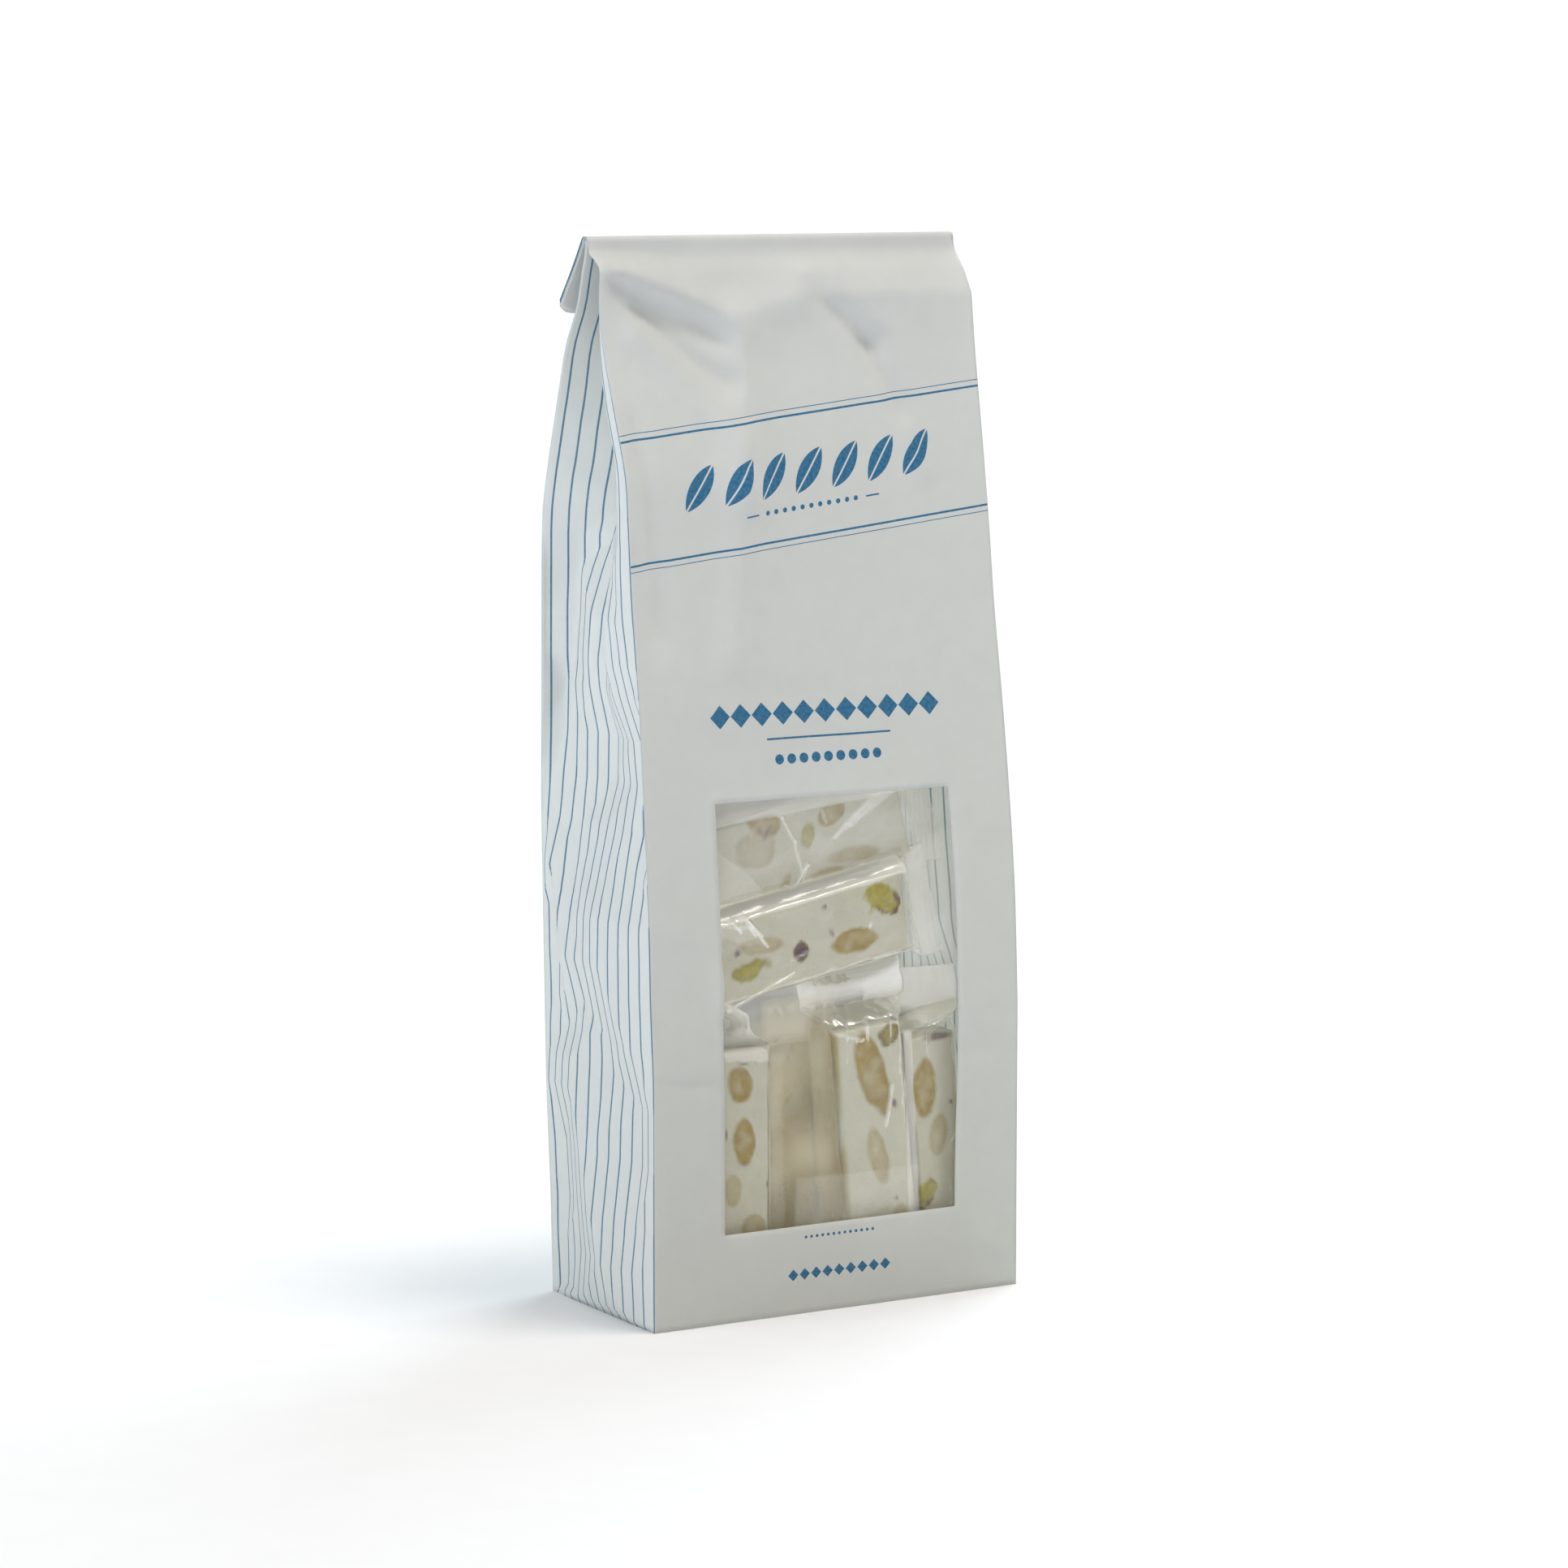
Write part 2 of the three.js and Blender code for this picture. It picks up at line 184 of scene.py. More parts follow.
# Where each bar stands or lies: its middle, the height of its lower end or side, its turn about
# its own length and its lean in the plane of the front, in degrees.
BARS = [
    {"name": "front_left", "x": -19.9, "depth": 11.1, "low": 4.5, "turn": 90, "lean": 0},
    {"name": "front_mid_left", "x": -4.4, "depth": 21.1, "low": 8.0, "turn": 0, "lean": 0},
    {"name": "front_mid_right", "x": 10.5, "depth": 8.5, "low": 7.0, "turn": 0, "lean": -5},
    {"name": "front_right", "x": 26.1, "depth": 11.4, "low": 4.0, "turn": 90, "lean": -5},
    {"name": "back_left", "x": -33.3, "depth": 27.0, "low": 6.0, "turn": 90, "lean": 0},
    {"name": "back_mid_left", "x": -12.6, "depth": 35.2, "low": 8.0, "turn": 0, "lean": 0},
    {"name": "back_mid_right", "x": 6.0, "depth": 35.4, "low": 10.0, "turn": 0, "lean": 0},
    {"name": "back_right", "x": 24.0, "depth": 29.6, "low": 9.0, "turn": 90, "lean": 0},
    {"name": "upper_front", "x": -5.8, "depth": 9.8, "low": 66.0, "turn": -5, "lean": 79.5},
    {"name": "upper_back", "x": 0.5, "depth": 27.6, "low": 69.8, "turn": 3, "lean": 91},
    {"name": "top_front", "x": -3.5, "depth": 14.2, "low": 84.7, "turn": -4, "lean": 80},
    {"name": "top_back", "x": -1.5, "depth": 29.0, "low": 88.4, "turn": 2, "lean": 89.6},
]

# Nuts cut through at the face that shows in the window: kind, x, height, half width, half length
# and how far the top leans to the left, in degrees. A deep almond lies just under the face.
SHOWN_NUTS = {
    "front_left": [
        ("almond", -21.2, 47.5, 2.8, 3.7, 10), ("almond", -20.2, 35.7, 2.5, 4.7, 2),
        ("deep_almond", -22.9, 26.2, 1.9, 3.3, 0), ("deep_almond", -18.0, 18.2, 2.9, 2.6, -20),
        ("skin", -14.9, 26.6, 0.3, 0.6, 0), ("skin", -24.4, 37.5, 0.3, 0.9, 0),
        ("skin", -20.5, 51.6, 0.2, 1.0, 80),
    ],
    "front_mid_left": [
        ("almond", -10.4, 17.5, 2.8, 6.0, 0), ("almond", -5.0, 30.6, 3.4, 4.6, 0),
        ("almond", -6.4, 56.0, 2.4, 3.6, 10), ("almond", -9.6, 43.0, 2.6, 5.0, -14),
        ("almond", 1.0, 22.0, 3.0, 6.0, 20),
    ],
    "front_mid_right": [
        ("almond", 9.4, 46.8, 3.2, 8.8, 18), ("deep_almond", 10.9, 29.9, 2.2, 5.9, 17),
        ("deep_pistachio", 13.4, 54.4, 2.5, 2.1, 50), ("skin", 14.7, 40.2, 0.6, 0.9, 15),
        ("skin", 15.4, 20.5, 0.3, 0.4, 0), ("deep_almond", 16.4, 17.5, 1.6, 1.8, 0),
    ],
    "front_right": [
        ("almond", 22.2, 42.5, 2.8, 5.9, 0), ("pistachio", 22.7, 20.6, 2.0, 2.9, -20),
        ("skin", 25.3, 52.8, 3.1, 0.7, 3), ("skin", 28.6, 39.0, 0.4, 0.4, 0),
        ("deep_almond", 25.6, 32.5, 2.2, 4.4, -10), ("almond", 29.0, 12.0, 1.8, 3.4, 20),
    ],
    "upper_front": [
        ("pistachio", 12.7, 81.8, 3.9, 3.1, -20), ("almond", 6.2, 74.0, 2.5, 5.7, 99),
        ("pistachio_skin", -6.6, 72.7, 1.8, 2.0, 0), ("deep_almond", -15.6, 74.7, 1.6, 5.0, 92),
        ("plain_pistachio", -18.8, 70.0, 1.8, 4.6, 102), ("skin", -0.6, 81.4, 0.5, 0.5, 0),
        ("skin", 0.9, 75.9, 0.3, 0.8, 30), ("skin", -20.9, 73.6, 0.5, 0.6, 0),
    ],
    "top_front": [
        ("almond", -12.0, 98.6, 3.6, 2.7, -15), ("deep_almond", -14.1, 93.2, 4.6, 3.8, 10),
        ("almond", 3.4, 99.4, 2.1, 3.2, -62), ("plain_pistachio", -2.2, 95.2, 1.5, 2.7, -27),
        ("deep_almond", 8.6, 90.8, 1.7, 6.4, 94), ("deep_almond", 2.1, 87.2, 1.6, 5.0, 96),
        ("deep_almond", -7.8, 85.9, 1.2, 3.0, -30), ("deep_almond", -7.7, 102.6, 1.4, 1.6, 0),
        ("skin", -11.6, 96.5, 1.4, 0.4, 60), ("skin", -13.2, 97.2, 0.4, 0.9, 40),
    ],
}

# Folds in a wrapper's film, as lines of (x, height) with how far they stand out and reach. The
# top of each fold is also hazed white as a painted highlight.
SHOWN_FOLDS = {
    "upper_front": [
        ((-22.0, 83.4), (-17.4, 77.0), 0.5, 0.8), ((-20.8, 82.6), (-14.9, 74.8), 0.5, 0.8),
        ((-23.4, 81.2), (-20.6, 77.8), 0.4, 0.8), ((-19.0, 79.9), (-15.8, 76.9), 0.4, 0.7),
        ((-23.0, 79.0), (-18.0, 78.6), 0.3, 0.9), ((-8.9, 71.4), (-5.4, 72.8), 0.3, 0.6),
        ((10.0, 70.2), (16.5, 71.0), 0.4, 0.9),
    ],
    "top_front": [
        ((-11.5, 102.4), (-8.6, 99.4), 0.5, 0.8), ((-8.6, 99.4), (-5.9, 94.6), 0.5, 0.8),
        ((-5.9, 94.6), (-4.4, 88.6), 0.4, 0.8), ((-3.2, 89.8), (-6.4, 84.6), 0.4, 0.8),
        ((-1.0, 91.4), (12.0, 101.5), 0.08, 1.2), ((4.0, 94.6), (19.0, 93.6), 0.06, 1.0),
    ],
    "front_mid_right": [
        ((0.6, 55.6), (6.5, 54.0), 0.3, 0.9), ((13.6, 44.0), (12.4, 36.0), 0.3, 0.8),
    ],
    "front_left": [((-14.6, 50.0), (-14.2, 18.0), 0.3, 0.7)],
}

# Where a wrapper's film lies double and looks milkier: corners as (x, height) and how much.
SHOWN_HAZE = {
    "top_front": [([(-1.0, 91.4), (13.0, 103.0), (22.0, 103.0), (22.0, 93.4), (4.0, 94.4)], 0.75),
                  ([(-26.0, 98.0), (-18.0, 90.0), (-12.0, 86.0), (-26.0, 80.0)], 0.3)],
    "upper_front": [([(-25.0, 84.0), (-14.6, 75.6), (-19.0, 75.0), (-25.0, 77.0)], 0.2)],
    "front_left": [([(-25.0, 55.0), (-14.0, 55.0), (-14.0, 51.5), (-25.0, 52.5)], 0.4)],
}

# How each wrapper's flattened end turns: where it bends and how sharply, half its width, its haze,
# and how far it is twisted round. Angles are in degrees. The ends of the lying bars stay straight.
FLAPS = {
    "front_left": {"bend": 4.0, "turn": 60, "half": 9.4, "haze": 0.8},
    "front_mid_left": {"bend": 6.0, "turn": 30, "half": 12.0, "haze": 0.9},
    "front_mid_right": {"bend": 7.4, "turn": 44, "half": 12.4, "haze": 0.95},
    "front_right": {"bend": 5.0, "turn": -10, "half": 9.8, "haze": 1.2, "twist": 65},
}

# Loose film in front of the bars: its corners as (x, height) from the low left one round to the
# high left one, the depth at its low and high edges, how far it bows forward, its haze, and how
# far in from its edges the haze comes up. The haze of several sheets is painted light or painted
# shade, as noted at each.
LOOSE_FILM = [
    ("lower_flap", [(-9.4, 8.0), (19.6, 8.0), (19.6, 27.4), (-9.4, 27.4)], 1.9, 1.5, 0.5, 0.12, 0.1),
    ("seam_strip", [(-14.2, 9.0), (-10.8, 9.0), (-11.2, 53.0), (-14.2, 53.0)], 3.2, 3.4, 0.3, 0.1, 0.8),
    # Partly painted light: a real film edge, hazed more to lift the shade in the gap between the two right
    # standing bars.
    ("right_seam", [(18.0, 9.0), (20.9, 9.0), (18.6, 55.0), (16.4, 55.0)], 2.3, 2.6, 0.2, 0.6, 0.5),
    # Painted light: its haze lifts the shade in the gap under the lower lying bar, above the left standing
    # bars.
    ("left_veil", [(-28.0, 52.0), (-2.0, 54.0), (1.0, 68.0), (-28.0, 65.0)], 8.4, 9.4, 0.6, 0.6, 2.5),
    # Painted shade: this tan veil over the recess between the first and third standing bars stands in for
    # the warm shade of the nougat there.
    ("painted_shade_veil", [(-14.3, 7.0), (6.1, 7.0), (3.3, 65.0), (-14.3, 63.0)], 5.0, 7.0, 0.3, 0.45, 2.0),
    # Painted light: its haze lifts the shade in the gap between the two front lying bars.
    ("upper_fold", [(-26.0, 78.9), (17.6, 87.0), (17.6, 90.7), (-26.0, 82.6)], 3.4, 7.9, 0.0, 0.6, 0.3),
    # Painted light: its haze lifts the shade in the gap above the top bar.
    ("top_veil", [(-28.0, 98.0), (20.0, 103.0), (20.0, 109.0), (-28.0, 109.0)], 8.0, 10.0, 0.3, 0.6, 0.8),
    # Painted light: its soft haze lifts the shade that the window's top edge casts on the top bar.
    ("upper_veil", [(-26.0, 84.0), (24.0, 93.4), (24.0, 109.0), (-26.0, 109.0)], 5.4, 7.2, 0.1, 0.28, 6.0),
    ("right_veil", [(17.0, 68.0), (30.0, 68.0), (30.0, 96.0), (17.0, 93.0)], 2.2, 4.6, 0.0, 0.3, 2.5),
    # Painted highlight: a hazed strip drawn as the bright fold line under the left end of the lower lying
    # bar.
    ("under_fold", [(-24.0, 61.7), (-8.2, 68.4), (-8.2, 69.6), (-24.0, 62.9)], 3.2, 4.6, 0.0, 0.3, 0.4),
]

# About how far apart the corners of each mesh lie, in millimetres.
MESH_STEPS = {
    "up_sheet": 1.2, "round_ridge": 0.35, "down_flap": 1.3,
    "back": 2.1, "left_gusset": 1.0, "front": 1.5, "right_gusset": 1.3,
    "shown_nougat": 0.5, "hidden_nougat": 1.3, "across_film": 0.5, "up_film": 0.6,
}


# ---- Settings ----

def length(name, description, default):
    """A size in metres for a settings panel, given in millimetres."""
    return bpy.props.FloatProperty(
        name=name, description=description, default=default * MM, min=0.0, unit="LENGTH", precision=5)


def linear(code):
    """An sRGB hex value as linear red, green, blue and a full alpha."""
    channels = [int(code[i:i + 2], 16) / 255 for i in (0, 2, 4)]
    return (*(c / 12.92 if c <= 0.04045 else ((c + 0.055) / 1.055) ** 2.4 for c in channels), 1.0)


def colour(name, description, code):
    """A colour for a settings panel, given as sRGB hex."""
    return bpy.props.FloatVectorProperty(
        name=name, description=description, default=linear(code), size=4, min=0.0, max=1.0,
        subtype="COLOR")


class BagSettings(bpy.types.PropertyGroup):
    """Sizes and colours of the paper bag and its window."""
    width: length("Width", "Across the front and back panels", 85)
    depth: length("Depth", "Front to back at the base", 43)
    gusset: length("Gusset Paper", "Width of the paper in each side gusset", 46.4)
    paper: length("Paper Thickness", "Thickness of the paper", 0.12)
    overlap: length("Seam Overlap", "How far the lengthwise seam behind overlaps", 9)
    stripe_pitch: length("Stripe Pitch", "From one gusset stripe to the next", 3.68)
    stripe_width: length("Stripe Width", "Width of a gusset stripe", 0.42)
    paper_colour: colour("Paper Colour", "Bleached paper", "EAECE9")
    inside_colour: colour("Inside Colour", "Uncoated inner side of the paper", "F3F1E9")
    ink_colour: colour("Ink Colour", "Solid blue print", "1C76A3")
    fine_ink_colour: colour("Fine Ink Colour", "Thin stripes and small print", "5A86A0")


class BarSettings(bpy.types.PropertyGroup):
    """Sizes and colours of the wrapped bars."""
    length: length("Length", "Length of the nougat", 49)
    width: length("Width", "Width of the nougat", 16)
    thickness: length("Thickness", "Thickness of the nougat", 11)
    wrap: length("Wrapper Slack", "How far the wrapper stands off the nougat", 0.5)
    nougat_colour: colour("Nougat Colour", "Whipped honey and egg white", "C1BFAC")
    almond_colour: colour("Almond Colour", "Cut almond kernel", "967E28")
    pistachio_colour: colour("Pistachio Colour", "Cut pistachio kernel", "9C922E")
    skin_colour: colour("Skin Colour", "Papery skin of a pistachio", "4E2A2C")


class StageSettings(bpy.types.PropertyGroup):
    """The camera and the studio light."""
    azimuth: bpy.props.FloatProperty(
        name="Azimuth", description="How far to the left of the front the camera stands",
        default=math.radians(30.378), subtype="ANGLE")
    elevation: bpy.props.FloatProperty(
        name="Elevation", description="How far above the level the camera looks from",
        default=math.radians(7.533), subtype="ANGLE")
    distance: length("Distance", "From the camera to the middle of the bag", 1024.744)
    lens: bpy.props.FloatProperty(
        name="Lens", description="Focal length on a 36 mm sensor, in millimetres", default=116.18)
    key_power: bpy.props.FloatProperty(
        name="Key Power", description="Power of the small soft light above the front", default=5.35)
    side_power: bpy.props.FloatProperty(
        name="Side Power", description="Power of the broad light at the left", default=11.0)
    back_power: bpy.props.FloatProperty(
        name="Back Power", description="Power of the light that shines through from behind", default=13.6)
    ground: bpy.props.FloatProperty(
        name="Ground Light", description="Strength of the light off the far floor", default=1.47)
    sky: bpy.props.FloatProperty(
        name="Surrounding Light", description="Strength of the light from all round", default=0.51)


# ---- Lines and small sums ----

def between(points, place):
    """The value at a place on a line through (place, value) points, held level past its ends."""
    after = bisect.bisect_right([p for p, _ in points], place)
    if after == 0:
        return points[0][1]
    if after == len(points):
        return points[-1][1]
    (a, low), (b, high) = points[after - 1], points[after]
    return low + (high - low) * (place - a) / (b - a)


def eased(points, place, reach=3.0):
    """The same line with its corners rounded over a reach."""
    return (between(points, place - reach) + 2 * between(points, place)
            + between(points, place + reach)) / 4


def mix(a, b, share):
    return a + (b - a) * share


def smooth(low, high, value):
    t = min(max((value - low) / (high - low), 0.0), 1.0)
    return t * t * (3 - 2 * t)


def breaks(stops, step):
    """Places from the first stop to the last, evenly spaced between stops and never over a step."""
    places = [stops[0]]
    for start, end in zip(stops, stops[1:]):
        count = max(1, math.ceil((end - start) / step - 1e-6))
        places += [mix(start, end, (i + 1) / count) for i in range(count)]
    return places


def distance_to_line(x, z, start, end):
    """Distance from a place to the straight line between two ends."""
    dx, dz = end[0] - start[0], end[1] - start[1]
    share = ((x - start[0]) * dx + (z - start[1]) * dz) / (dx * dx + dz * dz)
    share = min(max(share, 0.0), 1.0)
    return math.hypot(x - start[0] - share * dx, z - start[1] - share * dz)


def creased(creases, x, z):
    """Push into the bag from all the creases that reach a place."""
    push = 0.0
    for start, end, deep, reach in creases:
        away = distance_to_line(x, z, start, end)
        if away < reach:
            push += deep * (1 - away / reach)
    return push


def crease_map(rows, width, height):
    """The faceted surface through a gusset's crease points, as a tree to cast rays at."""
    points = [(0, 0, 0), (width, 0, 0), (0, height, 0), (width, height, 0)]
    for z, *marks in rows:
        points += [(0, z, 0), (width, z, 0)] if 0 < z < height else []
        points += [(place, z, push) for place, push in marks]
    flat = [Vector(p[:2]) for p in points]
    corners, _, faces, origins, *_ = delaunay_2d_cdt(flat, [], [], 0, 1e-4)
    solid = [Vector((c.x, c.y, points[origin[0]][2])) for c, origin in zip(corners, origins)]
    return BVHTree.FromPolygons(solid, faces)


def pushed(tree, place, z, width, height):
    """How far a gusset is pushed into the bag at a place."""
    start = Vector((min(max(place, 0.01), width - 0.01), min(max(z, 0.01), height - 0.01), 90.0))
    hit = tree.ray_cast(start, Vector((0, 0, -1)))[0]
    return hit.z if hit else 0.0


# ---- Meshes and materials ----

def finish_piece(bm, name, materials, slot, nodes=()):
    """Makes a mesh in millimetres from the front plane into a piece in metres in the frame."""
    depth = bpy.context.scene.nougat_bag.depth / MM
    bmesh.ops.transform(bm, matrix=Matrix.Translation((0, -depth / 2, 0)), verts=bm.verts)
    bmesh.ops.scale(bm, vec=(MM, MM, MM), verts=bm.verts)
    mesh = bpy.data.meshes.new(name)
    bm.to_mesh(mesh)
    bm.free()
    mesh.shade_smooth()
    for material in materials:
        mesh.materials.append(material)
    piece = bpy.data.objects.new(name, mesh)
    bpy.context.scene.collection.objects.link(piece)
    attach(piece, "root")
    if slot == "window_film":
        # Clear film neither shades what is behind it nor dims the light between the bars.
        piece.visible_shadow = False
        piece.visible_diffuse = False
    if nodes:
        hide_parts(*nodes)
    return piece


def grid(columns, rows, place, layer=None, note=None):
    """A sheet of quads whose corners are placed by column and row. "note" fills a vector layer."""
    bm = bmesh.new()
    bmesh.ops.create_grid(bm, x_segments=columns, y_segments=rows, size=0.5)
    marks = bm.verts.layers.float_vector.new(layer) if layer else None
    for vert in bm.verts:
        column = round((vert.co.x + 0.5) * columns)
        row = round((vert.co.y + 0.5) * rows)
        vert.co = place(column, row)
        if layer:
            vert[marks] = note(column, row)
    return bm


def add(tree, kind, *inputs, named=None, **settings):
    """Adds a shader node with its settings, and links or fills its inputs."""
    made = tree.nodes.new("ShaderNode" + kind)
    for name, value in settings.items():
        setattr(made, name, value)
    for name, value in [*enumerate(inputs), *(named or {}).items()]:
        if value is None:
            continue
        if isinstance(value, bpy.types.Node):
            value = value.outputs[0]
        if isinstance(value, bpy.types.NodeSocket):
            tree.links.new(value, made.inputs[name])
        else:
            made.inputs[name].default_value = value
    return made


def new_material(name):
    """A node material without nodes, and its node tree."""
    material = bpy.data.materials.new(name)
    material.use_nodes = True
    tree = material.node_tree
    tree.nodes.clear()
    return material, tree


def colour_mix(tree, share, first, second, blend="MIX"):
    """Two colours mixed by a share. A Mix node's colours are its inputs 6 and 7 and its output 2."""
    mixed = add(tree, "Mix", named={0: share, 6: first, 7: second}, data_type="RGBA",
                blend_type=blend)
    return mixed.outputs[2]


def line_mask(tree, value, middle, half):
    """1 where a value lies within half a width of its middle, and 0 elsewhere."""
    away = add(tree, "Math", add(tree, "Math", value, middle, operation="SUBTRACT"), operation="ABSOLUTE")
    return add(tree, "Math", away, half, operation="LESS_THAN")


def all_of(tree, *masks):
    """1 where every mask is 1."""
    joined = masks[0]
    for mask in masks[1:]:
        joined = add(tree, "Math", joined, mask, operation="MULTIPLY")
    return joined


def any_of(tree, *masks):
    """1 where any mask is 1."""
    joined = masks[0]
    for mask in masks[1:]:
        joined = add(tree, "Math", joined, mask, operation="MAXIMUM")
    return joined


# The band's rules climb to the right by this much for each millimetre across.
BAND_SLOPE = 0.104
BAND_RULES = [(179.5, 0.21), (180.75, 0.08), (155.5, 0.21), (154.3, 0.08)]

# The first gusset stripe lies this far past the fold, and the front's print stops this far short.
FIRST_STRIPE = 0.2
PRINT_STOP = 0.1

# A level rule, and two dashes that climb with the band: height, half thickness, distance of the
# middle from the bag's middle, and half length.
SHORT_RULE = (115.9, 0.2, 0.5, 14.3)
DASHES = (161.4, 0.17, 14.6, 1.6)

# A leaf's lean, its width as a share of its length, and the half width of its vein.
LEAF = {"lean": math.radians(52), "slim": 0.42, "vein": 0.2}

# Rows of plain ornaments: shape, height, how many, pitch, half size and slope.
ORNAMENT_ROWS = [
    ("leaf", 168.4, 7, 8.6, 5.4, BAND_SLOPE),
    ("dot", 161.4, 11, 2.1, 0.5, BAND_SLOPE),
    ("diamond", 120.9, 11, 4.9, 2.35, 0.0),
    ("dot", 111.8, 9, 2.8, 1.0, 0.0),
    ("dot", 15.6, 13, 1.3, 0.32, 0.0),
    ("diamond", 8.1, 9, 2.7, 1.2, 0.0),
]


def ornament_mask(tree, x, v, row):
    """A row of leaves, diamonds or dots across the front, one of them at the middle."""
    shape, height, count, pitch, size, slope = row
    up = add(tree, "Math", v, add(tree, "Math", x, slope, height, operation="MULTIPLY_ADD"),
             operation="SUBTRACT")
    cell = add(tree, "Math", add(tree, "Math", x, pitch / 2, operation="ADD"), pitch,
               operation="FLOORED_MODULO")
    across = add(tree, "Math", cell, pitch / 2, operation="SUBTRACT")
    inside = line_mask(tree, x, 0.0, count * pitch / 2)
    if shape == "diamond":
        reach = add(tree, "Math", add(tree, "Math", across, operation="ABSOLUTE"),
                    add(tree, "Math", up, operation="ABSOLUTE"), operation="ADD")
        return all_of(tree, inside, add(tree, "Math", reach, size, operation="LESS_THAN"))
    if shape == "dot":
        spot = add(tree, "CombineXYZ", across, up)
        reach = add(tree, "VectorMath", spot, operation="LENGTH").outputs["Value"]
        return all_of(tree, inside, add(tree, "Math", reach, size, operation="LESS_THAN"))
    # A leaf is where two large circles overlap, turned to lean.
    lean = LEAF["lean"]
    half_wide = size * LEAF["slim"]
    ring = (size * size + half_wide * half_wide) / (2 * half_wide)
    along = add(tree, "Math", add(tree, "Math", across, math.cos(lean), operation="MULTIPLY"),
                add(tree, "Math", up, math.sin(lean), operation="MULTIPLY"), operation="ADD")
    aside = add(tree, "Math", add(tree, "Math", up, math.cos(lean), operation="MULTIPLY"),
                add(tree, "Math", across, math.sin(lean), operation="MULTIPLY"), operation="SUBTRACT")
    away = add(tree, "Math", aside, operation="ABSOLUTE")
    outward = add(tree, "Math", away, ring - half_wide, operation="ADD")
    reach = add(tree, "VectorMath", add(tree, "CombineXYZ", along, outward), operation="LENGTH")
    leaf = add(tree, "Math", reach.outputs["Value"], ring, operation="LESS_THAN")
    vein = add(tree, "Math", away, LEAF["vein"], operation="GREATER_THAN")
    return all_of(tree, inside, leaf, vein)


def print_masks(tree, settings):
    """Masks of the solid print and of the fine stripes, from the sheet's own millimetres."""
    sheet = add(tree, "Attribute", attribute_name="sheet")
    place = add(tree, "SeparateXYZ", sheet.outputs["Vector"])
    x, v = place.outputs["X"], place.outputs["Y"]
    past = add(tree, "Math", add(tree, "Math", x, operation="ABSOLUTE"),
               settings.width / MM / 2, operation="SUBTRACT")
    pitch = settings.stripe_pitch / MM
    away = add(tree, "Math", add(tree, "Math", past, FIRST_STRIPE, operation="SUBTRACT"), pitch / 2,
               operation="PINGPONG")
    stripe = add(tree, "Math", away, settings.stripe_width / MM / 2, operation="LESS_THAN")
    on_gusset = line_mask(tree, past, settings.gusset / MM / 2, settings.gusset / MM / 2)
    stripes = all_of(tree, stripe, on_gusset)
    on_front = add(tree, "Math", past, -PRINT_STOP, operation="LESS_THAN")
    climbed = add(tree, "Math", add(tree, "Math", x, -BAND_SLOPE, operation="MULTIPLY"), v,
                  operation="ADD")
    rules = [line_mask(tree, climbed, middle, half) for middle, half in BAND_RULES]
    short = all_of(tree, line_mask(tree, v, *SHORT_RULE[:2]), line_mask(tree, x, *SHORT_RULE[2:]))
    dashes = all_of(tree, line_mask(tree, climbed, *DASHES[:2]),
                    line_mask(tree, add(tree, "Math", x, operation="ABSOLUTE"), *DASHES[2:]))
    rows = [ornament_mask(tree, x, v, row) for row in ORNAMENT_ROWS]
    solid = all_of(tree, on_front, any_of(tree, *rules, short, dashes, *rows))
    return solid, stripes, sheet.outputs["Vector"]


def bag_paper(settings):
    """Bleached kraft paper with a thin clay coat, flexo printed in blue. The coat gives a dull
    sheen, the pulp under it a faint mottle, and light passes through it a little."""
    material, tree = new_material("coated_kraft_paper_printed_blue")
    solid, stripes, sheet = print_masks(tree, settings)
    # Pulp clouds are about 5 mm across and fibres 0.4 mm, drawn coarser than real ones.
    clouds = add(tree, "TexNoise", sheet, named={"Scale": 0.2, "Detail": 3.0, "Roughness": 0.6})
    fibres = add(tree, "TexNoise", sheet, named={"Scale": 1.4, "Detail": 2.0})
    tone = add(tree, "MapRange", clouds.outputs["Fac"], 0.3, 0.7, 0.975, 1.0)
    paper = colour_mix(tree, 1.0, settings.paper_colour, tone, "MULTIPLY")
    # Ink is a little uneven, as flexo print is on paper.
    cover = add(tree, "MapRange", fibres.outputs["Fac"], 0.3, 0.7, 0.9, 1.0)
    fine = colour_mix(tree, all_of(tree, stripes, cover), paper, settings.fine_ink_colour)
    inked = colour_mix(tree, all_of(tree, solid, cover), fine, settings.ink_colour)
    bump = add(tree, "Bump", named={
        "Strength": 0.12, "Distance": 0.0002, "Height": fibres.outputs["Fac"]})
    surface = add(tree, "BsdfPrincipled", named={
        "Base Color": inked, "Roughness": 0.52, "Specular IOR Level": 0.4, "Normal": bump})
    through = add(tree, "BsdfTranslucent", inked)
    add(tree, "OutputMaterial", add(tree, "MixShader", 0.42, surface, through))
    return material


def inner_paper(settings):
    """Bare inner side of the bleached kraft: rougher and creamier, with the gusset stripes showing
    through faintly."""
    material, tree = new_material("bleached_kraft_paper_inside")
    _, stripes, sheet = print_masks(tree, settings)
    fibres = add(tree, "TexNoise", sheet, named={"Scale": 0.9, "Detail": 4.0, "Roughness": 0.65})
    tone = add(tree, "MapRange", fibres.outputs["Fac"], 0.3, 0.7, 0.94, 1.0)
    paper = colour_mix(tree, 1.0, settings.inside_colour, tone, "MULTIPLY")
    shown = add(tree, "Math", stripes, 0.45, operation="MULTIPLY")
    inked = colour_mix(tree, shown, paper, settings.fine_ink_colour)
    bump = add(tree, "Bump", named={
        "Strength": 0.2, "Distance": 0.0002, "Height": fibres.outputs["Fac"]})
    surface = add(tree, "BsdfPrincipled", named={
        "Base Color": inked, "Roughness": 0.8, "Normal": bump})
    through = add(tree, "BsdfTranslucent", inked)
    add(tree, "OutputMaterial", add(tree, "MixShader", 0.6, surface, through))
    return material


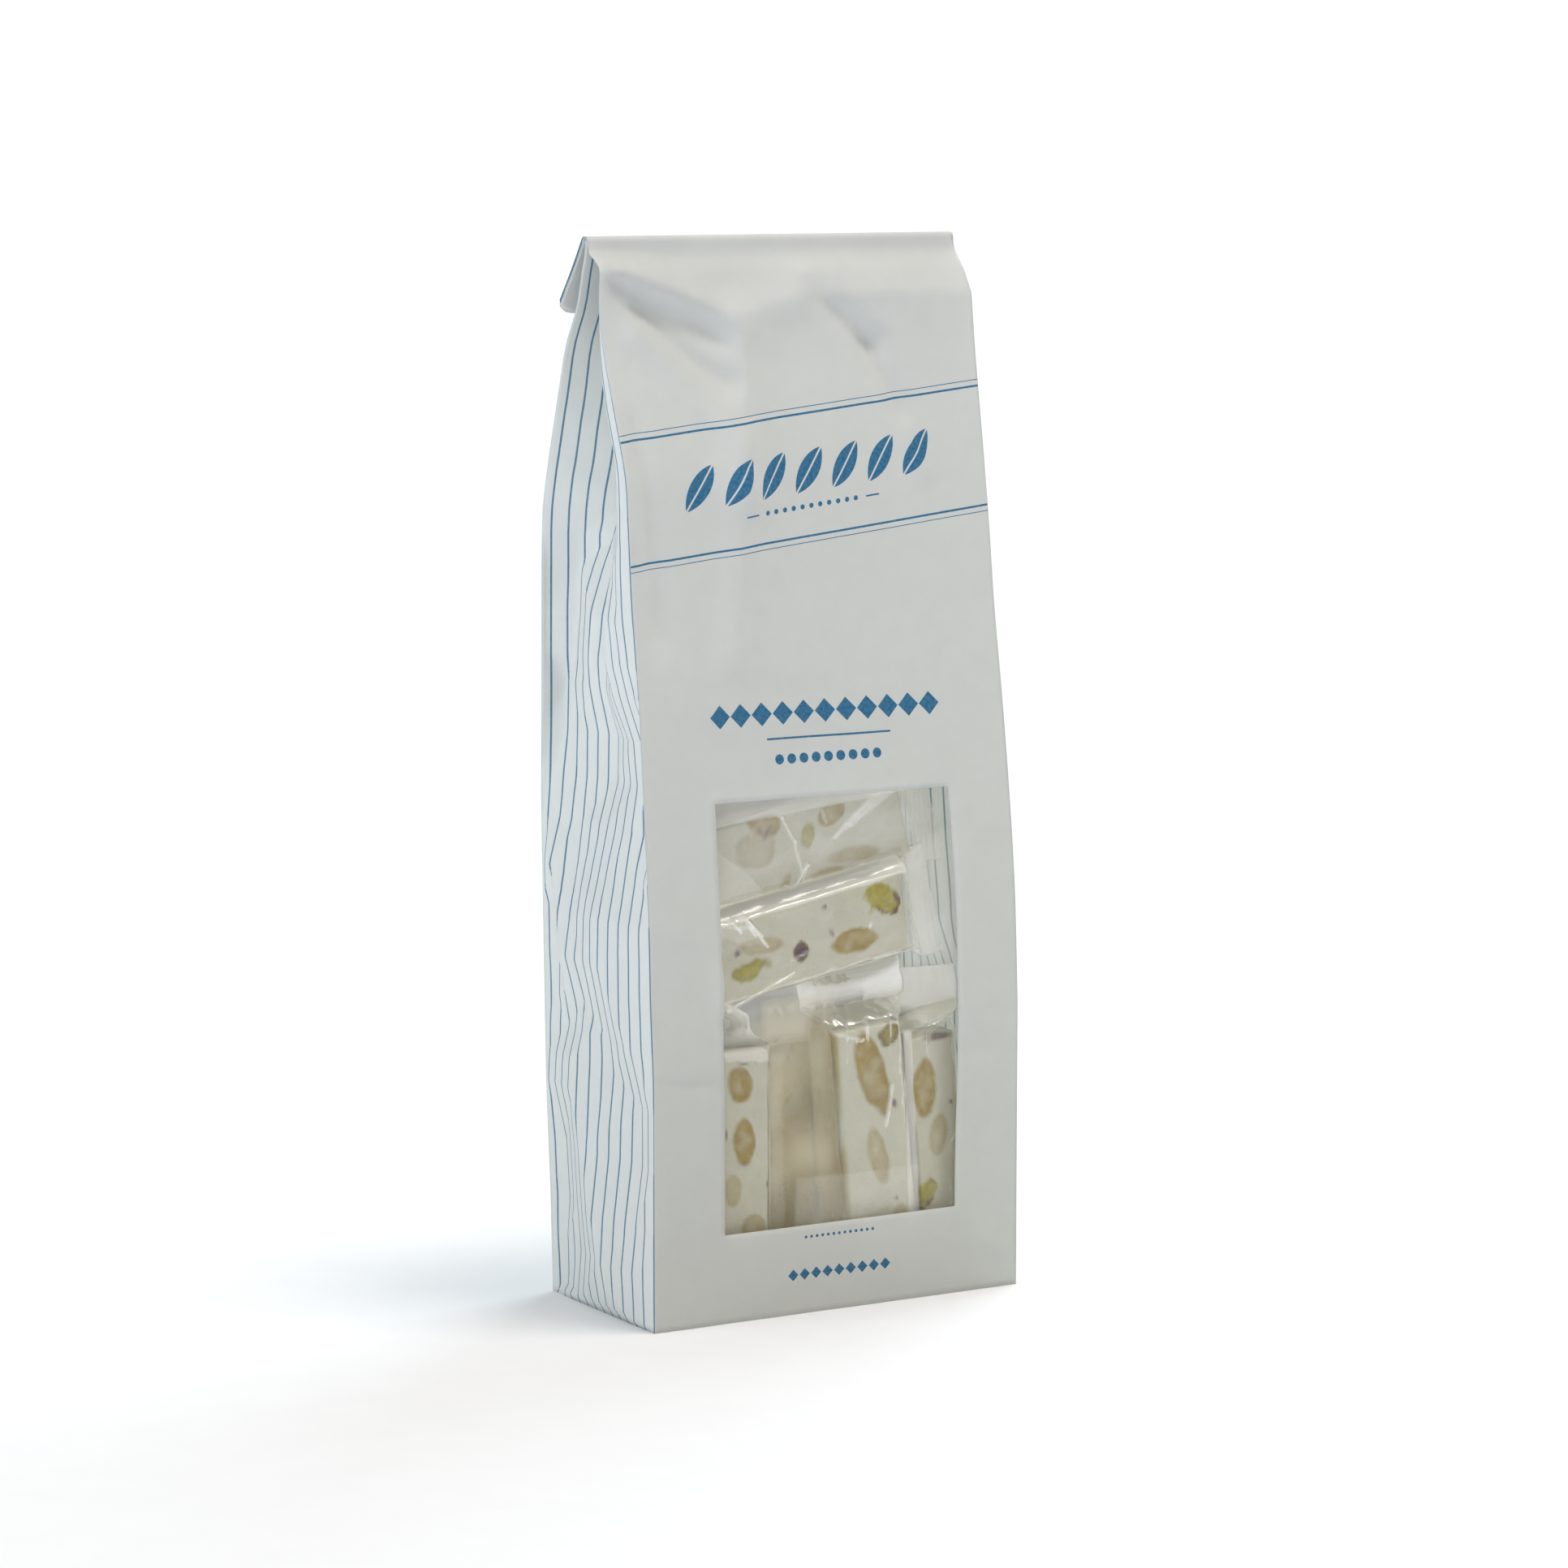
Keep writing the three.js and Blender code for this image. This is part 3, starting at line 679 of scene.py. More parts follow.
def clear_film(name, haze, roughness, ripple_mm, ripple, fin_haze, tint=(1.0, 0.985, 0.92, 1.0)):
    """Clear polypropylene film, cast and stretched. It is seen by its reflections, which are
    strongest at a glancing angle, and by a faint milkiness that grows where it is crimped. The same
    milkiness also carries painted light: painted highlights along folds, painted light over gaps
    between the bars, and painted shade on one tan veil. A reflection is the metallic share of the
    shader and the milkiness is the rest."""
    material, tree = new_material(name)
    place = add(tree, "TexCoord").outputs["Object"]
    wrinkles = add(tree, "TexNoise", place, named={
        "Scale": 1 / (ripple_mm * MM), "Detail": 2.5, "Roughness": 0.55, "Distortion": 0.4})
    bump = add(tree, "Bump", named={
        "Strength": ripple, "Distance": 0.0006, "Height": wrinkles.outputs["Fac"]})
    glance = add(tree, "Fresnel", 1.5, named={"Normal": bump})
    gloss = add(tree, "Math", glance, 0.62, operation="MULTIPLY")
    haze_and_painted_light = add(tree, "Attribute", attribute_name="haze_and_painted_light")
    milk_and_painted_light = add(tree, "Math", haze_and_painted_light.outputs["Fac"], fin_haze, haze, operation="MULTIPLY_ADD")
    share = add(tree, "Math", milk_and_painted_light, gloss, operation="ADD", use_clamp=True)
    mirror = add(tree, "Math", gloss, share, operation="DIVIDE", use_clamp=True)
    clear = add(tree, "BsdfTransparent")
    film = add(tree, "BsdfPrincipled", named={
        "Base Color": tint, "Metallic": mirror, "Roughness": roughness, "Normal": bump})
    add(tree, "OutputMaterial", add(tree, "MixShader", share, clear, film))
    return material


def wrapper_film():
    """The wrappers' film, shared by every piece of it."""
    name = "clear_polypropylene_wrapper"
    return bpy.data.materials.get(name) or clear_film(name, 0.01, 0.14, 5.0, 0.3, 0.62)


def nougat_material(settings):
    """Soft white nougat, whipped and sawn: a matt, slightly waxy white with tiny air holes, cut
    almonds and pistachios flush in its faces, and scraps of their brown and purple skins."""
    material, tree = new_material("soft_nougat_with_almond_and_pistachio")
    place = add(tree, "TexCoord").outputs["Object"]
    kinds = add(tree, "Attribute", attribute_name="nuts")
    share = add(tree, "SeparateXYZ", kinds.outputs["Vector"])
    # Air holes are about 0.5 mm across, and the cloudiness of the whip about 4 mm.
    clouds = add(tree, "TexNoise", place, named={"Scale": 1 / (4 * MM), "Detail": 3.0})
    holes = add(tree, "TexVoronoi", place, named={"Scale": 1 / (1.1 * MM)}, feature="F1")
    pit = add(tree, "MapRange", holes.outputs["Distance"], 0.10, 0.26, 0.0, 1.0)
    grain = add(tree, "TexNoise", place, named={"Scale": 1 / (0.9 * MM), "Detail": 4.0})
    tone = add(tree, "MapRange", clouds.outputs["Fac"], 0.3, 0.7, 0.93, 1.0)
    colour_now = colour_mix(tree, 1.0, settings.nougat_colour, tone, "MULTIPLY")
    for output, kernel in (("X", settings.almond_colour), ("Y", settings.pistachio_colour),
                           ("Z", settings.skin_colour)):
        shade = add(tree, "MapRange", grain.outputs["Fac"], 0.3, 0.7, 0.8, 1.12)
        tinted = colour_mix(tree, 1.0, kernel, shade, "MULTIPLY")
        colour_now = colour_mix(tree, share.outputs[output], colour_now, tinted)
    relief = add(tree, "Math", pit, grain.outputs["Fac"], operation="ADD")
    bump = add(tree, "Bump", named={"Strength": 0.35, "Distance": 0.0003, "Height": relief})
    surface = add(tree, "BsdfPrincipled", named={
        "Base Color": colour_now, "Roughness": 0.5, "Specular IOR Level": 0.3,
        "Subsurface Weight": 0.2, "Subsurface Scale": 0.002,
        "Subsurface Radius": (1.0, 0.9, 0.7), "Normal": bump})
    add(tree, "OutputMaterial", surface)
    return material


# ---- The paper bag ----

class Sheet:
    """The single sheet that the bag is folded from. A place on it is its distance along the
    girth from the front left fold and its height up the sheet, in millimetres."""

    def __init__(self, settings):
        self.width = settings.width / MM
        self.half = self.width / 2
        self.gusset = settings.gusset / MM
        self.overlap = settings.overlap / MM
        self.top = FOLD["height"]
        self.left = crease_map(LEFT_CREASES, self.gusset, self.top)
        self.right = crease_map(RIGHT_CREASES, self.gusset, self.top)
        w, g, mid = self.width, self.gusset, self.width + self.gusset
        fold, ease = BESIDE_FOLD, SEAM["ease"]
        self.seam = mid + self.half
        self.start = self.seam - 2 * (w + g)
        self.columns = (
            breaks([self.start, -g - fold], MESH_STEPS["back"])[:-1]
            + breaks([-g - fold, -g, -g + fold, -g / 2 - fold, -g / 2, -g / 2 + fold, -fold, 0],
                     MESH_STEPS["left_gusset"])[:-1]
            + breaks([0, fold, WINDOW["left"] + self.half, WINDOW["right"] + self.half, w - fold, w],
                     MESH_STEPS["front"])[:-1]
            + breaks([w, w + fold, w + g / 2 - fold, w + g / 2, w + g / 2 + fold, mid - fold, mid],
                     MESH_STEPS["right_gusset"])[:-1]
            + breaks([mid, mid + fold, self.seam - ease, self.seam + ease, self.seam + self.overlap],
                     MESH_STEPS["back"]))
        self.turn_length = FOLD["radius"] * FOLD["turn"]
        end = self.top + self.turn_length
        self.rows = (
            breaks([0, WINDOW["low"], WINDOW["high"], self.top], MESH_STEPS["up_sheet"])[:-1]
            + breaks([self.top, end], MESH_STEPS["round_ridge"])[:-1]
            + breaks([end, end + FOLD["flap"]], MESH_STEPS["down_flap"]))

    def front(self, x, z):
        """How far back the front panel lies."""
        start = between(LEAN_LINE, x)
        level = min(z, start)
        deep = mix(eased(FRONT_LEFT, level), eased(FRONT_RIGHT, level), x / self.width + 0.5)
        if z > start:
            deep = mix(deep, FOLD["depth"] - FOLD["layers"], (z - start) / (self.top - start))
        held = 1 - (2 * abs(x) / self.width) ** 4
        spread = (((x - BULGE["x"]) / BULGE["spread_x"]) ** 2
                  + ((z - BULGE["z"]) / BULGE["spread_z"]) ** 2)
        return deep - BULGE["rise"] * math.exp(-spread) * held * smooth(0, 30, z)

    def unevenness(self, s, z, seed):
        """Slight waves of handled paper."""
        broad = noise.noise(Vector((s / 15, z / 19, seed)))
        fine = noise.noise(Vector((s / 6, z / 7, seed + 9)))
        return 0.28 * broad + 0.09 * fine

    def panel(self, x, z):
        """How far back the creased front panel lies."""
        hold = smooth(0, 4, self.half - abs(x)) * smooth(self.top, self.top - 6, z)
        return self.front(x, z) + hold * (creased(FRONT_CREASES, x, z) + self.unevenness(x, z, 1.0))

    def rear(self, x, z):
        """How far back the creased back panel lies."""
        hold = smooth(0, 4, self.half - abs(x)) * smooth(self.top, self.top - 6, z)
        swell = 0.9 * smooth(0, 40, z)
        return eased(BACK, z) + hold * (swell - creased(BACK_CREASES, x, z) + self.unevenness(x, z, 5.0))

    def lapped(self, s):
        """How far a place has climbed onto the paper that the seam overlaps, from 0 to 1."""
        return smooth(self.seam - SEAM["ease"], self.seam + SEAM["ease"], s)

    def layer(self, s):
        """Which layer of the flattened mouth the sheet is in, as a distance towards the front."""
        out = FOLD["layers"]
        # A gusset's two halves lie one behind the other, between the front and back layers.
        through = [(0, out), (1.5, 0.13), (self.gusset / 2 - 1, 0.13), (self.gusset / 2 + 1, -0.13),
                   (self.gusset - 1.5, -0.13), (self.gusset, -out)]
        if s < 0:
            return between(through, -s)
        if s <= self.width:
            return out
        if s < self.width + self.gusset:
            return between(through, s - self.width)
        return -out - SEAM["mouth_lift"] * self.lapped(s)

    def across(self, s, z):
        """The X of a place on the sheet."""
        z = min(z, self.top)
        if s < -self.gusset:
            return -self.half - self.gusset - s
        if s < 0:
            return -self.half + pushed(self.left, -s, z, self.gusset, self.top)
        if s <= self.width:
            return s - self.half
        if s <= self.width + self.gusset:
            return self.half - pushed(self.right, s - self.width, z, self.gusset, self.top)
        return self.half + self.width + self.gusset - s

    def folded(self, x, s, v):
        """A place past the ridge, where the mouth turns over and hangs behind."""
        offset = self.layer(s)
        past = v - self.top
        radius = FOLD["radius"]
        angle = min(past / radius, FOLD["turn"])
        deep = FOLD["depth"] + radius - (radius + offset) * math.cos(angle)
        height = self.top + (radius + offset) * math.sin(angle)
        if past > self.turn_length:
            corner = FOLD["corner"]
            near = max(0.0, corner - (self.half - abs(x)))
            cut = corner - math.sqrt(max(corner * corner - near * near, 0.0))
            run = (past - self.turn_length) * (1 - cut / FOLD["flap"])
            share = run / FOLD["flap"]
            sprung = max(0.0, (CORNER_SPRING["from"] - x) / CORNER_SPRING["reach"])
            deep += CORNER_SPRING["rise"] * share * sprung ** 2
            curl = 0.9 * share * share + 0.7 * share * noise.noise(Vector((x / 17, 3.0, share * 1.4)))
            deep += run * math.sin(angle) + curl * math.cos(angle - math.pi / 2)
            height += run * math.cos(angle) + curl * math.sin(angle - math.pi / 2)
        return Vector((x, deep, height))

    def row(self, v):
        """The places of every column at one height up the sheet."""
        if v > self.top:
            return [self.folded(self.across(s, v), s, v) for s in self.columns]
        points = []
        for s in self.columns:
            x = self.across(s, v)
            if 0 <= s <= self.width:
                deep = self.panel(x, v)
            else:
                deep = self.rear(x, v) + SEAM["lift"] * self.lapped(s)
            points.append([x, deep])
        self.fill_gussets(points, v)
        blend = smooth(self.top - 6, self.top, v)
        return [Vector((x, mix(deep, FOLD["depth"] - self.layer(s), blend), v))
                for s, (x, deep) in zip(self.columns, points)]

    def fill_gussets(self, points, z):
        """Sets how far back each place of the gussets lies, so that the paper keeps its length and
        stays between the front and back panels."""
        for first, last in ((-self.gusset, 0), (self.width, self.width + self.gusset)):
            low = next(i for i, s in enumerate(self.columns) if abs(s - first) < 1e-6)
            high = next(i for i, s in enumerate(self.columns) if abs(s - last) < 1e-6)
            steps = []
            for i in range(low, high):
                run = self.columns[i + 1] - self.columns[i]
                rise = points[i + 1][0] - points[i][0]
                steps.append(math.sqrt(max(run * run - rise * rise, (0.15 * run) ** 2)))
            start, end = points[low][1], points[high][1]
            gone = 0.0
            for i in range(low + 1, high):
                gone += steps[i - low - 1]
                deep = mix(start, end, gone / sum(steps))
                place = min(self.columns[i] - first, last - self.columns[i])
                x = points[i][0] + 0.35 * smooth(0, 5, place) * self.unevenness(self.columns[i], z, 3.0)
                if abs(x) < self.half - 0.3:
                    spare = GUSSET_SPARE * smooth(0, 2, self.half - abs(x))
                    deep = max(self.panel(x, z) + spare, min(deep, self.rear(x, z) - spare))
                points[i] = [x, deep]


class NOUGAT_OT_paper_bag(bpy.types.Operator):
    """Make the printed paper bag from one folded sheet, with the window cut out"""
    bl_idname = "nougat.paper_bag"
    bl_label = "Paper Bag"

    def execute(self, context):
        settings = context.scene.nougat_bag
        sheet = Sheet(settings)
        rows = [sheet.row(v) for v in sheet.rows]
        bm = grid(
            len(sheet.columns) - 1, len(sheet.rows) - 1, lambda column, row: rows[row][column],
            "sheet", lambda column, row: (sheet.columns[column] - sheet.half, sheet.rows[row], 0.0))
        marks = bm.verts.layers.float_vector["sheet"]
        inside = []
        for face in bm.faces:
            x = sum(vert[marks].x for vert in face.verts) / 4
            v = sum(vert[marks].y for vert in face.verts) / 4
            if WINDOW["left"] < x < WINDOW["right"] and WINDOW["low"] < v < WINDOW["high"]:
                inside.append(face)
        bmesh.ops.delete(bm, geom=inside, context="FACES")
        piece = finish_piece(bm, "folded_paper_bag", [bag_paper(settings), inner_paper(settings)],
                             "paper", ["paper_bag"])
        wall = piece.modifiers.new("paper", "SOLIDIFY")
        wall.thickness = settings.paper
        wall.offset = -1.0
        wall.material_offset = 1
        wall.material_offset_rim = 1
        return {"FINISHED"}


class NOUGAT_OT_bag_base(bpy.types.Operator):
    """Close the block bottom with its folded and overlapped flaps"""
    bl_idname = "nougat.bag_base"
    bl_label = "Bag Base"

    def execute(self, context):
        settings = context.scene.nougat_bag
        sheet = Sheet(settings)
        # The innermost layer closes the whole bottom, a little inside the walls. Its ring leaves
        # out the columns past the seam's step.
        ring = sheet.row(0.0)[:-4]
        bm = bmesh.new()
        middle = Vector((0, settings.depth / MM / 2, 0))
        corners = [bm.verts.new(middle + (p - middle) * 0.994 + Vector((0, 0, 0.9))) for p in ring]
        bm.faces.new(corners)
        half, depth = sheet.half - 0.4, settings.depth / MM
        # The two side flaps lie next, then the rear flap, and the front flap outermost.
        plates = [
            ([(-half, 0.6), (-half + 20, 20), (-half + 20, depth - 20), (-half, depth - 0.6)], 0.70),
            ([(half, depth - 0.6), (half - 20, depth - 20), (half - 20, 20), (half, 0.6)], 0.70),
            ([(half, depth - 0.4), (half - 12, 18), (-half + 12, 18), (-half, depth - 0.4)], 0.45),
            ([(-half, 0.4), (-half + 13, 26), (half - 13, 26), (half, 0.4)], 0.24),
        ]
        for outline, height in plates:
            made = bm.faces.new([bm.verts.new((x, y, 0)) for x, y in outline])
            edges = list(made.edges)
            bmesh.ops.subdivide_edges(bm, edges=edges, cuts=11, use_grid_fill=True)
            for vert in {v for v in bm.verts if v.co.z == 0}:
                edge = min(half - abs(vert.co.x), vert.co.y, depth - vert.co.y)
                vert.co.z = 0.2 + (height - 0.2) * smooth(0, 3, edge) + 0.0001
                vert.co.z += 0.06 * noise.noise(vert.co / 9)
        bmesh.ops.recalc_face_normals(bm, faces=bm.faces)
        bmesh.ops.triangulate(bm, faces=[f for f in bm.faces if len(f.verts) > 4])
        piece = finish_piece(bm, "folded_base", [inner_paper(settings)], "paper")
        wall = piece.modifiers.new("paper", "SOLIDIFY")
        wall.thickness = settings.paper
        wall.offset = 0.0
        return {"FINISHED"}


class NOUGAT_OT_window_film(bpy.types.Operator):
    """Stretch the clear film behind the window"""
    bl_idname = "nougat.window_film"
    bl_label = "Window Film"

    def execute(self, context):
        sheet = Sheet(context.scene.nougat_bag)
        left, right = WINDOW["left"] - FILM["margin"], WINDOW["right"] + FILM["margin"]
        low, high = WINDOW["low"] - FILM["margin"], WINDOW["high"] + FILM["margin"]
        columns, rows = 48, 72

        def place(column, row):
            x, z = mix(left, right, column / columns), mix(low, high, row / rows)
            edge = min(x - left, right - x, z - low, high - z)
            ripple = FILM["ripple"] * noise.noise(Vector((x / 10, z / 16, 2.0)))
            calm = smooth(FILM["margin"], FILM["margin"] + 4, edge)
            return Vector((x, sheet.front(x, z) + FILM["behind"] + ripple * calm, z))

        film = clear_film("clear_polypropylene_window", 0.015, 0.10, 16.0, 0.06, 0.0)
        finish_piece(grid(columns, rows, place), "clear_window", [film], "window_film",
                     ["window_film"])
        return {"FINISHED"}


# ---- The bars ----

def bar_matrix(bar, settings):
    """Where a bar lies, from a bar that stands at the origin along Z with its wide face forward."""
    lying = bar["lean"] > 45
    rise = (settings.width if lying else settings.length) / MM / 2
    middle = Vector((bar["x"], bar["depth"], bar["low"] + rise + 0.5))
    turned = (Matrix.Rotation(math.radians(bar["lean"]), 4, "Y")
              @ Matrix.Rotation(math.radians(bar["turn"]), 4, "Z"))
    return Matrix.Translation(middle) @ turned


def nuts_in(bar, matrix, settings, rng):
    """Ellipsoids of nut inside a bar, in its own axes: kind, centre, radii and turn."""
    half = Vector((settings.width, settings.thickness, settings.length)) / MM / 2
    back = matrix.inverted()
    turn_back = back.to_3x3()
    wide = settings.width if bar["turn"] == 90 else settings.thickness
    face = bar["depth"] - wide / MM / 2
    found = []
    shown = SHOWN_NUTS.get(bar["name"], [])
    for kind, x, z, half_wide, half_long, tilt in shown:
        deep = min(half_wide, NUTS["deepest"])
        centre = back @ Vector((x, face + NUTS["sunk"] * deep, z))
        turn = turn_back @ Matrix.Rotation(math.radians(-tilt), 3, "Y")
        # The ball is larger than what shows, as the face cuts it off its middle.
        grow = 1 / math.sqrt(1 - NUTS["sunk"] ** 2)
        found.append((kind, centre, (half_wide * grow, deep, half_long * grow), turn.transposed()))
    while len(found) < len(shown) + NUTS["hidden"]:
        kind = rng.choice(["almond", "almond", "almond", "pistachio", "skin"])
        size = {"almond": (3.0, 2.4, 6.0), "pistachio": (2.2, 1.9, 3.6), "skin": (0.5, 0.5, 0.8)}[kind]
        scale = rng.uniform(0.75, 1.15)
        centre = Vector([rng.uniform(-h, h) for h in half])
        turn = Matrix.Rotation(rng.uniform(-0.9, 0.9), 3, "Y") @ Matrix.Rotation(
            rng.uniform(-0.7, 0.7), 3, "X")
        radii = [scale * r for r in size]
        if shown and (matrix @ centre).y - max(radii) < face + 0.5:
            continue
        crowded = any((centre - other).length < 0.6 * (max(radii) + max(other_radii))
                      for _, other, other_radii, _ in found if max(other_radii) > 1.5)
        if crowded and rng.random() < 0.97:
            continue
        found.append((kind, centre, radii, turn.transposed()))
    return found


def nut_shares(place, nuts, honey):
    """How far a place in the nougat is almond, pistachio and skin, and how proud it stands.
    "honey" browns the whip: a little is a faint honey tone, and much is painted shade."""
    # The cloudy brown from "honey" is a honey tone or painted shade, and it goes in as almond colour.
    cloud = 0.5 + 0.9 * noise.noise(place / 9 + Vector((3.0, 8.0, 1.0)))
    shares = [min(max(honey * cloud, 0.0), 0.8), 0.0, 0.0]
    proud = 0.0
    for kind, centre, radii, turn in nuts:
        away = turn @ (place - centre)
        if abs(away.x) > radii[0] * 1.4 or abs(away.z) > radii[2] * 1.4:
            continue
        reach = Vector((away.x / radii[0], away.y / radii[1], away.z / radii[2])).length
        if "pistachio" in kind:
            reach += 0.34 * noise.noise(place / 2.0 + centre) + 0.1 * noise.noise(place / 0.9 + centre)
        else:
            reach += 0.1 * noise.noise(place / 2.8 + centre) + 0.04 * noise.noise(place / 1.1 + centre)
        soft = 0.28 / min(radii)
        share = 1 - smooth(1 - soft, 1 + soft, reach)
        if "pistachio" in kind:
            edge_noise = noise.noise(place / 2.2 + centre * 3)
            rim = smooth(0.66, 0.9, reach + 0.35 * edge_noise)
            side = smooth(-0.1, 0.35, away.x / radii[0] + edge_noise)
            covered = {"pistachio": 0.85 * rim * side, "plain_pistachio": 0.25 * rim,
                       "deep_pistachio": 0.3 + 0.4 * rim, "pistachio_skin": 1.0}[kind]
            shares[1] = max(shares[1], share)
            shares[2] = max(shares[2], share * covered)
        elif kind.endswith("almond"):
            flesh = 0.74 + 0.26 * smooth(0.3, 1.0, reach) + 0.3 * noise.noise(place / 2.0 + centre)
            strength = 0.62 if kind == "deep_almond" else 1.0
            shares[0] = max(shares[0], share * strength * min(max(flesh, 0.0), 1.0))
            rim = smooth(0.62, 0.95, reach + 0.5 * noise.noise(place / 3.0 - centre))
            shares[2] = max(shares[2], share * strength * 0.1 * rim)
        else:
            shares[2] = max(shares[2], share * 0.85)
        proud = max(proud, 0.16 * share)
    return shares, proud


def nougat_block(bar, matrix, settings, step, rng):
    """A sawn block of nougat with nuts in it."""
    size = Vector((settings.width, settings.thickness, settings.length)) / MM
    half = size / 2
    bm = bmesh.new()
    bmesh.ops.create_cube(bm, size=1.0)
    bmesh.ops.scale(bm, vec=size, verts=bm.verts)
    for axis in range(3):
        along = [e for e in bm.edges
                 if abs(abs((e.verts[0].co - e.verts[1].co).normalized()[axis]) - 1) < 1e-3]
        bmesh.ops.subdivide_edges(bm, edges=along, cuts=max(1, round(size[axis] / step) - 1),
                                  use_grid_fill=True)
    nuts = nuts_in(bar, matrix, settings, rng)
    layer = bm.verts.layers.float_vector.new("nuts")
    seed = Vector((rng.uniform(0, 90), rng.uniform(0, 90), rng.uniform(0, 90)))
    edge = 0.9
    for vert in bm.verts:
        place = vert.co.copy()
        core = Vector([min(max(place[i], edge - half[i]), half[i] - edge) for i in range(3)])
        outward = (place - core).normalized()
        place = core + edge * outward
        side = smooth(half.x - 1.5, half.x - 0.4, -place.x)
        # Painted shade: a strong brown stands in for the warm shade on the second standing bar, deep
        # behind the others, and on the left side of the third, which faces into that recess. The other
        # bars get only a faint honey tone.
        honey = {"front_mid_left": 1.4, "front_mid_right": 1.2 * side}.get(bar["name"], 0.12)
        shares, proud = nut_shares(place, nuts, honey)
        uneven = (0.30 * noise.noise(place / 11 + seed) + 0.14 * noise.noise(place / 3.5 + seed)
                  + 0.05 * noise.noise(place / 1.2 + seed))
        vert.co = place + outward * (uneven - 0.15 + proud)
        vert[layer] = shares
    bmesh.ops.recalc_face_normals(bm, faces=bm.faces)
    bmesh.ops.transform(bm, matrix=matrix, verts=bm.verts)
    return bm


def round_the_bar(share, half_wide, half_deep, radius):
    """A place on a rectangle with rounded corners and its normal, by its share of the way round."""
    wide, deep = 2 * (half_wide - radius), 2 * (half_deep - radius)
    arc = math.pi * radius / 2
    left = share % 1.0 * (2 * wide + 2 * deep + 4 * arc)
    corners = [(half_wide - radius, radius - half_deep), (half_wide - radius, half_deep - radius),
               (radius - half_wide, half_deep - radius), (radius - half_wide, radius - half_deep)]
    for side, (x, y) in enumerate(corners):
        straight = deep if side % 2 else wide
        angle = math.radians(90 * side - 90)
        back = max(straight - left, 0.0)
        if left > straight:
            angle += min((left - straight) / arc, 1.0) * math.pi / 2
        if left <= straight + arc:
            break
        left -= straight + arc
    normal = (math.cos(angle), math.sin(angle))
    return x + radius * normal[0] + back * normal[1], y + radius * normal[1] - back * normal[0], normal


def in_outline(x, z, corners):
    """Whether a place lies within a convex outline."""
    signs = []
    for (ax, az), (bx, bz) in zip(corners, corners[1:] + corners[:1]):
        signs.append((bx - ax) * (z - az) - (bz - az) * (x - ax) > 0)
    return all(signs) or not any(signs)


def turned_flap(past, bend, turn, radius=1.6):
    """How far along and aside a flap reaches at a distance from its root, once it has bent."""
    if past <= bend:
        return past, 0.0
    angle = math.radians(turn)
    way = 1 if angle >= 0 else -1
    swept = min((past - bend) / radius, abs(angle))
    straight = past - bend - swept * radius
    along = bend + radius * math.sin(swept) + max(straight, 0.0) * math.cos(swept)
    aside = radius * (1 - math.cos(swept)) + max(straight, 0.0) * math.sin(swept)
    return along, way * aside


